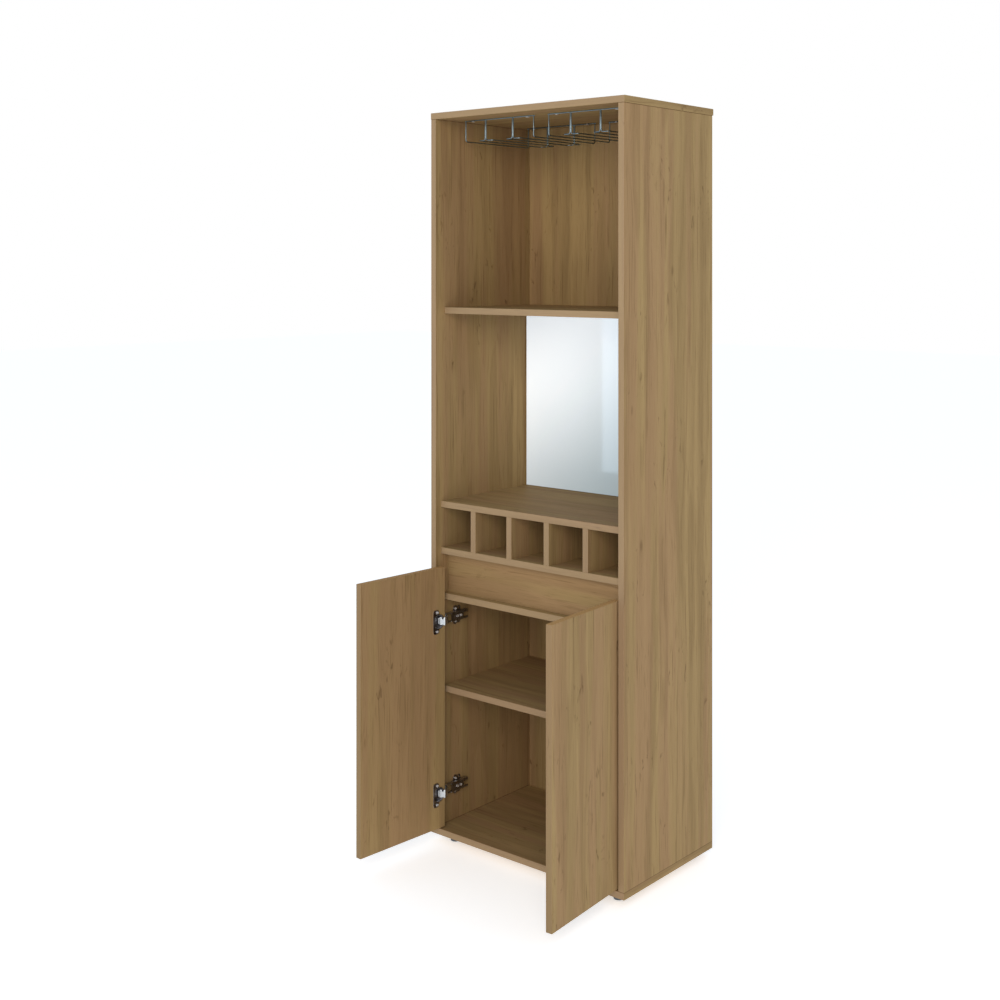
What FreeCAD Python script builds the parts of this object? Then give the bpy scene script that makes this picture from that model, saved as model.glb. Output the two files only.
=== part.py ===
# Wine cabinet: a laminated-board carcass on glides, with stemware racks, a mirrored niche,
# a row of bottle cubbies and a cupboard behind two doors on concealed hinges.
# Millimetres. +Z is up, the front faces -Y, and X is zero on the centre plane.
# The origin lies on the floor, under the middle of the box round the cabinet with open doors.

import FreeCAD, Part
import os
import re

import Sketcher

Vector = FreeCAD.Vector
Rotation = FreeCAD.Rotation
UP = Vector(0, 0, 1)

# Driving dimensions. Heights of shelves are those of their top faces above the underside of
# the bottom panel, and setbacks run back from the front edges of the side panels.
SIZES = {
    "carcass_width": 600,
    "carcass_depth": 380,
    "carcass_height": 1836,
    "board_thickness": 16,
    "edge_radius": 0.6,
    "top_overhang": 1.2,
    "back_panel_thickness": 3,
    "back_panel_inset": 2,
    "upper_shelf_height": 1340,
    "upper_shelf_setback": 34,
    "counter_height": 845,
    "open_shelf_setback": 20,
    "cubby_height": 102.5,
    "recess_height": 101.5,
    "recess_setback": 47.5,
    "cupboard_setback": 28,
    "cupboard_shelf_height": 372.5,
    "loose_shelf_clearance": 0.5,
    "mirror_thickness": 3,
    "mirror_side_margin": 5,
    "mirror_end_margin": 1.5,
    "mirror_tape_thickness": 1,
    "mirror_tape_width": 25,
    "mirror_tape_end_margin": 35,
    "door_thickness": 16,
    "door_height": 659.6,
    "door_side_gap": 3,
    "door_centre_gap": 3,
    "door_bottom_gap": 4,
    "door_open_angle": 94,
    "pivot_from_edge": 7,
    "pivot_depth": 6.5,
    "lower_hinge_height": 86,
    "upper_hinge_height": 524,
    "cup_inset": 22,
    "cup_radius": 17.5,
    "cup_depth": 11.5,
    "cup_wall": 1,
    "cup_stop_depth": 4.5,
    "cup_stop_height": 12,
    "cup_stop_clearance": 0.3,
    "flange_thickness": 1.2,
    "flange_ring_radius": 19,
    "flange_screw_inset": 28,
    "flange_screw_pitch": 48,
    "flange_end_radius": 6.5,
    "arm_pin_inset": 22,
    "arm_pin_setback": 31,
    "arm_pin_radius": 1.6,
    "arm_nose_radius": 4.6,
    "arm_channel_height": 20.8,
    "arm_wall": 1.3,
    "arm_rise": 30.5,
    "arm_foot_rise": 18.4,
    "arm_web_setback": 45,
    "arm_end_setback": 107,
    "arm_notch_depth": 20,
    "arm_notch_radius": 5.5,
    "link_closed_angle": 36.5,
    "link_swing": 42.3,
    "link_length": 33.96,
    "link_height": 20,
    "link_thickness": 1.6,
    "link_shoulder_run": 9.6,
    "link_shoulder_rise": 11.8,
    "link_crown_run": 29.6,
    "link_crown_rise": 17,
    "link_knuckle_radius": 3,
    "link_tip_radius": 2.3,
    "link_tip_height": 15,
    "pin_clearance": 0.1,
    "plate_setback": 62.7,
    "plate_length": 31.3,
    "plate_rise": 11,
    "plate_width": 18,
    "plate_screw_setback": 72,
    "plate_screw_pitch": 32,
    "plate_wing_radius": 8,
    "plate_wing_thickness": 2,
    "plate_eye_setback": 85,
    "plate_eye_radius": 6.5,
    "plate_eye_hole_radius": 2.6,
    "side_screw_setback": 67,
    "depth_screw_setback": 80.5,
    "arm_screw_radius": 2.5,
    "arm_screw_head_radius": 4,
    "arm_screw_head_height": 1.4,
    "arm_screw_bite": 6,
    "wood_screw_radius": 1.75,
    "wood_screw_bite": 11,
    "wood_screw_head_radius": 3.7,
    "wood_screw_head_height": 1.8,
    "rack_wire_radius": 1.5,
    "rack_bend_radius": 6,
    "rack_left_margin": 30,
    "rack_middle_gap": 48,
    "rack_right_margin": 42,
    "rack_setback": 82,
    "rack_length": 255,
    "rack_drop": 54,
    "rack_pair_spacing": 2.6,
    "rack_bar_overhang": 4,
    "rack_screw_head_radius": 4.5,
    "foot_height": 22,
    "foot_radius": 12,
    "foot_waist_radius": 10.5,
    "foot_base_height": 6,
    "foot_edge_radius": 1,
    "foot_side_inset": 45,
    "foot_front_inset": 42.5,
    "foot_stem_radius": 4,
    "foot_stem_length": 12,
    "dowel_radius": 4,
    "dowel_side_bite": 10,
    "dowel_shelf_bite": 20,
    "dowel_end_setback": 60,
    "thin_dowel_radius": 3,
    "thin_dowel_bite": 8,
    "back_dowel_end_margin": 90,
    "cam_radius": 7.5,
    "cam_height": 12.5,
    "cam_reach": 24,
    "cam_bolt_radius": 3,
    "shelf_pin_radius": 2.5,
    "shelf_pin_bite": 8,
    "shelf_pin_reach": 9,
    "shelf_pin_end_setback": 75,
    "nail_radius": 0.8,
    "nail_bite": 13,
    "nail_head_radius": 2.8,
    "nail_head_height": 0.8,
    "nail_end_margin": 60,
    "bore_clearance": 0.1,
    "cut_overrun": 2,
}

DIVIDER_COUNT = 4
RACK_RAIL_COUNT = 6
TAPE_COUNT = 4
NAILS_PER_EDGE = 5
FULL_TURN = 360

# Places worked out from the driving dimensions, in the part's own frame.
PLACES = {
    "half_width": "carcass_width / 2",
    "clear_half": "half_width - board_thickness",
    "total_depth": "carcass_depth + back_panel_thickness + nail_head_height",
    "door_width": "clear_half - door_side_gap - door_centre_gap / 2",
    "door_lean": "-pivot_depth * (1 - cos(door_open_angle)) - door_thickness * cos(door_open_angle)",
    "door_reach": "(door_width - pivot_from_edge) * sin(door_open_angle) + door_lean",
    "front_plane": "(door_reach - total_depth) / 2",
    "rear_plane": "front_plane + carcass_depth",
    "bottom_face": "foot_height + board_thickness",
    "carcass_top": "foot_height + carcass_height",
    "top_face": "carcass_top - board_thickness",
    "open_shelf_front": "front_plane + open_shelf_setback",
    "cupboard_front": "front_plane + cupboard_setback",
    "recess_front": "front_plane + recess_setback",
    "upper_shelf_top": "foot_height + upper_shelf_height",
    "upper_shelf_under": "upper_shelf_top - board_thickness",
    "counter_top": "foot_height + counter_height",
    "counter_under": "counter_top - board_thickness",
    "rack_floor_top": "counter_under - cubby_height",
    "rack_floor_under": "rack_floor_top - board_thickness",
    "cupboard_roof_top": "rack_floor_under - recess_height",
    "cupboard_roof_under": "cupboard_roof_top - board_thickness",
    "cupboard_shelf_top": "foot_height + cupboard_shelf_height",
    "cupboard_shelf_under": "cupboard_shelf_top - board_thickness",
    "back_board_front": "rear_plane - board_thickness",
    "mirror_back": "back_board_front - mirror_tape_thickness",
    "mirror_front": "mirror_back - mirror_thickness",
    "cubby_pitch": "(2 * clear_half + board_thickness) / (divider_count + 1)",
    "door_bottom": "bottom_face + door_bottom_gap",
    "pivot_x": "clear_half - door_side_gap - pivot_from_edge",
    "pivot_y": "front_plane + pivot_depth",
    "open_face_x": "-pivot_x - pivot_from_edge * cos(door_open_angle) - pivot_depth * sin(door_open_angle)",
    "open_edge_y": "pivot_y + pivot_from_edge * sin(door_open_angle) - pivot_depth * cos(door_open_angle)",
    "link_reach": "link_length * sin(link_closed_angle + link_swing)",
    "link_tip_x": "arm_pin_inset - half_width + link_length * cos(link_closed_angle + link_swing)",
    "link_tip_y": "front_plane + arm_pin_setback - link_reach",
    "link_tip_drop": "(open_edge_y - link_tip_y) * sin(door_open_angle)",
    "link_tip_inset": "link_tip_drop + (link_tip_x - open_face_x) * cos(door_open_angle)",
    "arm_outer_height": "arm_channel_height + 2 * arm_wall",
    "wire_top": "top_face - rack_wire_radius",
    "rack_width": "clear_half - (rack_left_margin + rack_middle_gap + rack_right_margin) / 2",
    "rack_rail_pitch": "rack_width / (rack_rail_count - 1)",
    "rack_left": "rack_left_margin - clear_half",
    "rack_spacing": "rack_width + rack_middle_gap",
    "rack_front": "front_plane + rack_setback",
    "rack_rear": "rack_front + rack_length",
    "dowel_front": "front_plane + dowel_end_setback",
    "dowel_rear": "back_board_front - dowel_end_setback",
    "middle_y": "(dowel_front + dowel_rear) / 2",
    "nail_seat": "rear_plane + back_panel_thickness",
}

doc = FreeCAD.newDocument("wine_cabinet")
sizes = doc.addObject("Spreadsheet::Sheet", "Sizes")
places = doc.addObject("Spreadsheet::Sheet", "Places")
cells = {"divider_count": str(DIVIDER_COUNT), "rack_rail_count": str(RACK_RAIL_COUNT)}
nodes = {}
bores = {}


# Formulas name sizes and places in plain words, and this points each word at its cell.
def formula(text):
    return re.sub(r"[a-z][a-z_]*", lambda word: cells.get(word.group(), word.group()), text)


def fill(sheet, values, lead):
    for row, (name, value) in enumerate(values.items(), start=1):
        sheet.set(f"A{row}", name)
        sheet.set(f"B{row}", lead + formula(str(value)))
        sheet.setAlias(f"B{row}", name)
        cells[name] = f"{sheet.Name}.{name}"


fill(sizes, SIZES, "")
fill(places, PLACES, "=")
doc.recompute()


# The present value of a formula, in millimetres or degrees.
def value(text):
    return float(sizes.evalExpression(formula(text)))


def bind(item, **formulas):
    for prop, text in formulas.items():
        item.setExpression(prop.replace("__", "."), formula(text))


def seat(item, x, y, z):
    bind(item, Placement__Base__x=x, Placement__Base__y=y, Placement__Base__z=z)


# A block from one corner to the other: each span is a pair of formulas, low and high.
def block(name, x, y, z):
    item = doc.addObject("Part::Box", name)
    bind(item, Length=f"{x[1]} - ({x[0]})", Width=f"{y[1]} - ({y[0]})", Height=f"{z[1]} - ({z[0]})")
    seat(item, x[0], y[0], z[0])
    return item


# A round bar: the coordinate given as a pair is its length, and the other two are its axis.
def rod(name, radius, x, y, z):
    item = doc.addObject("Part::Cylinder", name)
    spans = [spot if isinstance(spot, tuple) else (spot, None) for spot in (x, y, z)]
    for (low, high), axis in zip(spans, (Vector(1, 0, 0), Vector(0, 1, 0), UP)):
        if high:
            bind(item, Radius=radius, Height=f"{high} - ({low})")
            item.Placement = FreeCAD.Placement(Vector(), Rotation(UP, axis))
    seat(item, *[low for low, high in spans])
    return item


def join(name, pieces):
    item = doc.addObject("Part::MultiFuse", name)
    item.Shapes = pieces
    return item


def gather(name, pieces):
    item = doc.addObject("Part::Compound", name)
    item.Links = pieces
    return item


def cut(name, base, tools):
    item = doc.addObject("Part::Cut", name)
    item.Base = base
    item.Tool = tools[0] if len(tools) == 1 else gather(name + "_tools", tools)
    return item


def node(name, item):
    item.Label = name
    nodes[name] = item
    return item


# The right-hand piece is the left-hand one mirrored in the centre plane.
def node_pair(name, left):
    node("left_" + name, left)
    right = doc.addObject("Part::Mirroring", "right_" + name)
    right.Source = left
    right.Normal = Vector(1, 0, 0)
    node("right_" + name, right)


# Distances from the centre plane, near and far, become X on one side of it.
def across(side, near, far=None):
    if side == "right":
        return near if far is None else (near, far)
    return f"-({near})" if far is None else (f"-({far})", f"-({near})")


# A fastener joins its group, and every board that it enters gets a bore round it.
def fasten(group, boards, radius, x, y, z):
    number = len(group)
    group.append(rod(f"{boards[0]}_fastener_{number}", radius, x, y, z))
    wide = [
        (f"{spot[0]} - bore_clearance", f"{spot[1]} + bore_clearance") if isinstance(spot, tuple) else spot
        for spot in (x, y, z)
    ]
    for name in boards:
        bore = rod(f"{name}_bore_{number}", f"{radius} + bore_clearance", *wide)
        bores.setdefault(name, []).append(bore)


# A board, with its front edges eased as the edge band leaves them and its bores drilled.
def board(name, x, y, z, eased=True):
    item = block(name + "_slab", x, y, z)
    if eased:
        doc.recompute()
        front = item.Shape.BoundBox.YMin
        radius = value("edge_radius")
        numbered = enumerate(item.Shape.Edges, start=1)
        chosen = [number for number, edge in numbered if edge.CenterOfMass.y - front < radius]
        slab = item
        item = doc.addObject("Part::Fillet", name + "_eased")
        item.Base = slab
        item.Edges = [(number, radius, radius) for number in chosen]
    if name in bores:
        item = cut(name, item, bores[name])
    return node(name, item)


# A closed outline in an origin plane of a body, each corner held at a pair of formulas.
def outline(body, role, corners):
    sketch = body.newObject("Sketcher::SketchObject", body.Name + "_outline")
    plane = next(item for item in body.Origin.OriginFeatures if item.Role == role)
    sketch.AttachmentSupport = [(plane, "")]
    sketch.MapMode = "FlatFace"
    points = [Vector(value(run), value(rise), 0) for run, rise in corners]
    for line, start in enumerate(points):
        sketch.addGeometry(Part.LineSegment(start, points[(line + 1) % len(points)]))
    for line, corner in enumerate(corners):
        before = (line - 1) % len(corners)
        sketch.addConstraint(Sketcher.Constraint("Coincident", before, 2, line, 1))
        for kind, axis, text in zip(("DistanceX", "DistanceY"), (-2, -1), corner):
            if text == "0":
                sketch.addConstraint(Sketcher.Constraint("PointOnObject", line, 1, axis))
            else:
                held = sketch.addConstraint(Sketcher.Constraint(kind, -1, 1, line, 1, value(text)))
                sketch.setExpression(f"Constraints[{held}]", formula(text))
    return sketch


def padded(name, corners, height):
    body = doc.addObject("PartDesign::Body", name)
    pad = body.newObject("PartDesign::Pad", name + "_pad")
    pad.Profile = outline(body, "XY_Plane", corners)
    pad.SideType = "Symmetric"
    bind(pad, Length=height)
    return body


def pocketed(body, corners, height):
    pocket = body.newObject("PartDesign::Pocket", body.Name + "_pocket")
    pocket.Profile = outline(body, "XY_Plane", corners)
    pocket.SideType = "Symmetric"
    bind(pocket, Length=height)
    return body


# Dowels, cams and bolts of the fixed boards: (board, axis height).
def carcass_fittings():
    dowels, cams, bolts = [], [], []
    shelf_roots = {
        "upper_shelf": "upper_shelf",
        "counter_shelf": "counter",
        "bottle_rack_floor": "rack_floor",
        "cupboard_top": "cupboard_roof",
    }
    for name, root in shelf_roots.items():
        axis = f"{root}_top - board_thickness / 2"
        for side in ("left", "right"):
            wall = side + "_side_panel"
            span = across(side, "clear_half - dowel_shelf_bite", "clear_half + dowel_side_bite")
            for depth in ("dowel_front", "dowel_rear"):
                fasten(dowels, [name, wall], "dowel_radius", span, depth, axis)
            cam_axis = across(side, "clear_half - cam_reach")
            cam_span = (f"{root}_under", f"{root}_under + cam_height")
            fasten(cams, [name], "cam_radius", cam_axis, "middle_y", cam_span)
            reach = "clear_half - cam_reach + cam_radius + bore_clearance"
            span = across(side, reach, "clear_half + dowel_side_bite")
            fasten(bolts, [name, wall], "cam_bolt_radius", span, "middle_y", axis)
    for side in ("left", "right"):
        wall = side + "_side_panel"
        axis = across(side, "half_width - board_thickness / 2")
        ends = {
            "top_panel": ("top_face - dowel_shelf_bite", "top_face + dowel_side_bite"),
            "bottom_panel": ("bottom_face - dowel_side_bite", "bottom_face + dowel_shelf_bite"),
        }
        for name, span in ends.items():
            for depth in ("dowel_front", "middle_y", "dowel_rear"):
                fasten(dowels, [name, wall], "dowel_radius", axis, depth, span)
        span = across(side, "clear_half - dowel_shelf_bite", "clear_half + dowel_side_bite")
        apron = "recess_front + board_thickness / 2"
        for height in ("cupboard_roof_top + recess_height / 4", "rack_floor_under - recess_height / 4"):
            fasten(dowels, ["recess_panel", wall], "thin_dowel_radius", span, apron, height)
        behind = "rear_plane - board_thickness / 2"
        heights = ("rack_floor_top + back_dowel_end_margin", "upper_shelf_under - back_dowel_end_margin")
        for height in heights:
            fasten(dowels, ["middle_back_board", wall], "thin_dowel_radius", span, behind, height)
    for number in range(1, DIVIDER_COUNT + 1):
        name = f"bottle_divider_{number}"
        axis = f"cubby_pitch * {number} - clear_half - board_thickness / 2"
        seams = {"counter_shelf": "counter_under", "bottle_rack_floor": "rack_floor_top"}
        for shelf, seam in seams.items():
            span = (f"{seam} - thin_dowel_bite", f"{seam} + thin_dowel_bite")
            for depth in ("dowel_front", "dowel_rear"):
                fasten(dowels, [shelf, name], "thin_dowel_radius", axis, depth, span)
    node("dowels", gather("dowels", dowels))
    node("cam_locks", gather("cam_locks", cams))
    node("cam_bolts", gather("cam_bolts", bolts))


# Pins in the side panels, on which the loose cupboard shelf rests.
def shelf_pins():
    pins = []
    height = "cupboard_shelf_under - shelf_pin_radius"
    for side in ("left", "right"):
        span = across(side, "clear_half - shelf_pin_reach", "clear_half + shelf_pin_bite")
        depths = ("front_plane + shelf_pin_end_setback", "rear_plane - shelf_pin_end_setback")
        for depth in depths:
            fasten(pins, [side + "_side_panel"], "shelf_pin_radius", span, depth, height)
    node("shelf_pins", gather("shelf_pins", pins))


# Nails that hold the two thin back panels to the rear edges of the boards.
def back_nails():
    nails = []
    edges = {
        "upper_back_panel": ("upper_shelf_top", "top_face"),
        "lower_back_panel": ("bottom_face", "rack_floor_under"),
    }
    for panel, (low, high) in edges.items():
        for side in ("left", "right"):
            axis = across(side, "half_width - board_thickness / 2")
            for number in range(NAILS_PER_EDGE):
                share = f"{number} / {NAILS_PER_EDGE - 1}"
                run = f"({high} - ({low}) - 2 * nail_end_margin)"
                height = f"{low} + nail_end_margin + {run} * {share}"
                drive_nail(nails, panel, side + "_side_panel", axis, height)
    rails = {
        "upper_shelf": ("upper_back_panel", "upper_shelf_top - board_thickness / 4"),
        "bottle_rack_floor": ("lower_back_panel", "rack_floor_under + board_thickness / 4"),
        "cupboard_top": ("lower_back_panel", "cupboard_roof_top - board_thickness / 2"),
        "bottom_panel": ("lower_back_panel", "bottom_face - board_thickness / 4"),
    }
    for name, (panel, height) in rails.items():
        for side in ("left", "right"):
            drive_nail(nails, panel, name, across(side, "clear_half / 2"), height)
    node("back_panel_nails", gather("back_panel_nails", nails))


def drive_nail(nails, panel, wall, x, z):
    number = len(nails)
    shank = []
    fasten(shank, [panel, wall], "nail_radius", x, ("nail_seat - nail_bite", "nail_seat"), z)
    shank[0].Label = f"nail_shank_{number}"
    bores[panel][-1].Label = f"{panel}_nail_bore_{number}"
    head = rod(f"nail_head_{number}", "nail_head_radius", x, ("nail_seat", "nail_seat + nail_head_height"), z)
    nails.append(join(f"nail_{number}", [shank[0], head]))


# Round glides with a stem in the bottom panel.
def feet():
    corners = [
        ("0", "0"),
        ("foot_radius - foot_edge_radius", "0"),
        ("foot_radius", "foot_edge_radius"),
        ("foot_radius", "foot_base_height"),
        ("foot_waist_radius", "foot_base_height + foot_edge_radius"),
        ("foot_waist_radius", "foot_height"),
        ("foot_stem_radius", "foot_height"),
        ("foot_stem_radius", "foot_height + foot_stem_length"),
        ("0", "foot_height + foot_stem_length"),
    ]
    stem_top = "foot_height + foot_stem_length + bore_clearance"
    stem = ("foot_height - cut_overrun", stem_top)
    depths = {"front": "front_plane + foot_front_inset", "rear": "rear_plane - foot_front_inset"}
    for where, depth in depths.items():
        for side in ("left", "right"):
            name = f"{where}_{side}_foot"
            body = doc.addObject("PartDesign::Body", name)
            turn = body.newObject("PartDesign::Revolution", name + "_turn")
            sketch = outline(body, "XZ_Plane", corners)
            turn.Profile = sketch
            turn.ReferenceAxis = (sketch, ["V_Axis"])
            turn.Angle = FULL_TURN
            axis = across(side, "half_width - foot_side_inset")
            seat(body, axis, depth, "0")
            hole = rod(name + "_bore", "foot_stem_radius + bore_clearance", axis, depth, stem)
            bores.setdefault("bottom_panel", []).append(hole)
            node(name, body)


def carcass():
    full = ("-half_width", "half_width")
    clear = ("-clear_half", "clear_half")
    depth = ("front_plane", "rear_plane")
    lid = ("-half_width - top_overhang", "half_width + top_overhang")
    board("top_panel", lid, ("front_plane", "nail_seat"), ("top_face", "carcass_top"))
    board("bottom_panel", full, depth, ("foot_height", "bottom_face"))
    for side in ("left", "right"):
        wall = across(side, "clear_half", "half_width")
        board(side + "_side_panel", wall, depth, ("bottom_face", "top_face"))
    shelf_front = "front_plane + upper_shelf_setback"
    board("upper_shelf", clear, (shelf_front, "rear_plane"), ("upper_shelf_under", "upper_shelf_top"))
    niche = ("open_shelf_front", "back_board_front")
    board("counter_shelf", clear, niche, ("counter_under", "counter_top"))
    floor = ("rack_floor_under", "rack_floor_top")
    board("bottle_rack_floor", clear, ("open_shelf_front", "rear_plane"), floor)
    for number in range(1, DIVIDER_COUNT + 1):
        near = f"cubby_pitch * {number} - clear_half"
        span = (f"{near} - board_thickness", near)
        board(f"bottle_divider_{number}", span, niche, ("rack_floor_top", "counter_under"))
    apron = ("recess_front", "recess_front + board_thickness")
    board("recess_panel", clear, apron, ("cupboard_roof_top", "rack_floor_under"))
    cupboard = ("cupboard_front", "rear_plane")
    board("cupboard_top", clear, cupboard, ("cupboard_roof_under", "cupboard_roof_top"))
    loose = ("-clear_half + loose_shelf_clearance", "clear_half - loose_shelf_clearance")
    loose_depth = ("cupboard_front", "rear_plane - loose_shelf_clearance")
    board("cupboard_shelf", loose, loose_depth, ("cupboard_shelf_under", "cupboard_shelf_top"))
    behind = ("back_board_front", "rear_plane")
    board("middle_back_board", clear, behind, ("rack_floor_top", "upper_shelf_under"), eased=False)


def back_panels():
    width = ("-half_width + back_panel_inset", "half_width - back_panel_inset")
    depth = ("rear_plane", "nail_seat")
    upper = ("upper_shelf_top - board_thickness / 2", "top_face")
    lower = ("foot_height + back_panel_inset", "rack_floor_top - board_thickness / 4")
    board("upper_back_panel", width, depth, upper, eased=False)
    board("lower_back_panel", width, depth, lower, eased=False)


def mirror():
    width = ("-clear_half + mirror_side_margin", "clear_half - mirror_side_margin")
    height = ("counter_top + mirror_end_margin", "upper_shelf_under - mirror_end_margin")
    node("mirror", block("mirror", width, ("mirror_front", "mirror_back"), height))
    strips = []
    for number in range(TAPE_COUNT):
        middle = f"(2 * clear_half / {TAPE_COUNT}) * ({number} + 1 / 2) - clear_half"
        span = (f"{middle} - mirror_tape_width / 2", f"{middle} + mirror_tape_width / 2")
        rise = ("counter_top + mirror_tape_end_margin", "upper_shelf_under - mirror_tape_end_margin")
        strips.append(block(f"tape_{number}", span, ("mirror_back", "back_board_front"), rise))
    node("mirror_tape_strips", gather("mirror_tape_strips", strips))


# Pieces that hang on the left door are made closed, with the hinged edge at zero along X and
# the outer face at zero along Y, and this turns them to the open door.
def hang(item):
    bind(item, Placement__Rotation__Angle="-door_open_angle")
    seat(item, "open_face_x", "open_edge_y", "door_bottom")
    return item


# A screw with a low round head, along Y: its head stands on a face and its shank goes in.
def door_screw(name, x, z):
    face = "door_thickness + flange_thickness"
    shank = rod(name + "_shank", "wood_screw_radius", x, (f"{face} - wood_screw_bite", face), z)
    head = rod(name + "_head", "wood_screw_head_radius", x, (face, f"{face} + wood_screw_head_height"), z)
    return join(name, [shank, head])


def doors_and_cups():
    slab = block("door_slab", ("0", "door_width"), ("0", "door_thickness"), ("0", "door_height"))
    doc.recompute()
    eased = doc.addObject("Part::Fillet", "door_eased")
    eased.Base = slab
    radius = value("edge_radius")
    eased.Edges = [(number, radius, radius) for number in range(1, len(slab.Shape.Edges) + 1)]
    holes, screws = [], []
    for level in ("lower", "upper"):
        middle = f"{level}_hinge_height"
        face = ("door_thickness - cup_depth", "door_thickness")
        mouth = (face[0] + " - bore_clearance", "door_thickness + cut_overrun")
        holes.append(rod(f"{level}_cup_bore", "cup_radius + bore_clearance", "cup_inset", mouth, middle))
        flange = ("door_thickness", "door_thickness + flange_thickness")
        ring = rod(f"{level}_flange_ring", "flange_ring_radius", "cup_inset", flange, middle)
        bowl = rod(f"{level}_cup_bowl", "cup_radius", "cup_inset", face, middle)
        wing_half = "flange_screw_pitch / 2"
        rise = (f"{middle} - {wing_half}", f"{middle} + {wing_half}")
        tall = (f"{rise[0]} - flange_end_radius", f"{rise[1]} + flange_end_radius")
        rear = "cup_inset + flange_ring_radius"
        corners = {"near": "flange_screw_inset", "far": f"{rear} - flange_end_radius"}
        wide = ("flange_screw_inset - flange_end_radius", rear)
        pieces = [ring, bowl, block(f"{level}_flange_bar", wide, flange, rise)]
        pieces.append(block(f"{level}_flange_plate", (corners["near"], corners["far"]), flange, tall))
        inner = (f"{face[0]} + cup_wall", f"{flange[1]} + cut_overrun")
        stop_width = ("cup_inset - cup_radius", "link_tip_inset - link_tip_radius - cup_stop_clearance")
        stop_depth = (face[0], "door_thickness - cup_stop_depth")
        stop_rise = (f"{middle} - cup_stop_height / 2", f"{middle} + cup_stop_height / 2")
        stop = block(f"{level}_cup_stop", stop_width, stop_depth, stop_rise)
        inside = rod(f"{level}_cup_inside", "cup_radius - cup_wall", "cup_inset", inner, middle)
        hollows = [cut(f"{level}_cup_hollow", inside, [stop])]
        for end, height in zip(("low", "high"), rise):
            for corner, spot in corners.items():
                label = f"{level}_{end}_{corner}_flange_corner"
                pieces.append(rod(label, "flange_end_radius", spot, flange, height))
            through = ("door_thickness - cut_overrun", f"{flange[1]} + cut_overrun")
            clear_radius = "wood_screw_radius + bore_clearance"
            screw = corners["near"]
            hollows.append(rod(f"{level}_{end}_flange_hole", clear_radius, screw, through, height))
            tip = "door_thickness + flange_thickness - wood_screw_bite - bore_clearance"
            span = (tip, "door_thickness + cut_overrun")
            holes.append(rod(f"{level}_{end}_screw_bore", clear_radius, screw, span, height))
            screws.append(door_screw(f"{level}_{end}_cup_screw", screw, height))
        shell = cut(f"{level}_cup_shell", join(f"{level}_cup_solid", pieces), hollows)
        node_pair(f"{level}_hinge_cup", hang(shell))
    node_pair("door", hang(cut("door", eased, holes)))
    node_pair("cup_screws", hang(gather("cup_screws", screws)))


# One flat stretch of the bent link, seen from above, between two points along and off its chord.
def link_strip(name, start, end):
    item = doc.addObject("Part::Box", name)
    run = f"({end[0]} - ({start[0]}))"
    rise = f"({end[1]} - ({start[1]}))"
    bind(item, Length=f"sqrt({run} ^ 2 + {rise} ^ 2)", Width="link_thickness", Height="link_height")
    angle = f"atan2({rise}; {run})"
    item.Placement = FreeCAD.Placement(Vector(), Rotation(UP, value(angle)))
    bind(item, Placement__Rotation__Angle=angle)
    x = f"{start[0]} + link_thickness / 2 * sin({angle})"
    y = f"{start[1]} - link_thickness / 2 * cos({angle})"
    seat(item, x, y, "-link_height / 2")
    return item


# The bent link turns on the arm's pin and reaches over the rim of the cup into it.
def link(level):
    bends = [
        ("0", "0"),
        ("link_shoulder_run", "link_shoulder_rise"),
        ("link_crown_run", "link_crown_rise"),
        ("link_length", "0"),
    ]
    tall = ("-link_height / 2", "link_height / 2")
    short = ("-link_tip_height / 2", "link_tip_height / 2")
    pieces = [link_strip(f"{level}_strip_{n}", *bends[n : n + 2]) for n in range(len(bends) - 2)]
    tongue = link_strip(f"{level}_tongue", *bends[-2:])
    pieces.append(tongue)
    for number, bend in enumerate(bends[1:-1]):
        pieces.append(rod(f"{level}_bend_{number}", "link_thickness / 2", *bend, tall))
    pieces.append(rod(f"{level}_knuckle", "link_knuckle_radius", *bends[0], tall))
    pieces.append(rod(f"{level}_tip", "link_tip_radius", *bends[-1], short))
    through = ("-link_height", "link_height")
    bore = rod(f"{level}_knuckle_bore", "arm_pin_radius + pin_clearance", *bends[0], through)
    body = cut(f"{level}_link", join(f"{level}_link_solid", pieces), [bore])
    bind(body, Placement__Rotation__Angle="-link_closed_angle - link_swing")
    seat(body, "arm_pin_inset - half_width", "front_plane + arm_pin_setback", hinge_axis(level))
    node_pair(f"{level}_hinge_link", body)


# Height of a hinge on the side panel.
def hinge_axis(level):
    return f"door_bottom + {level}_hinge_height"


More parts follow.
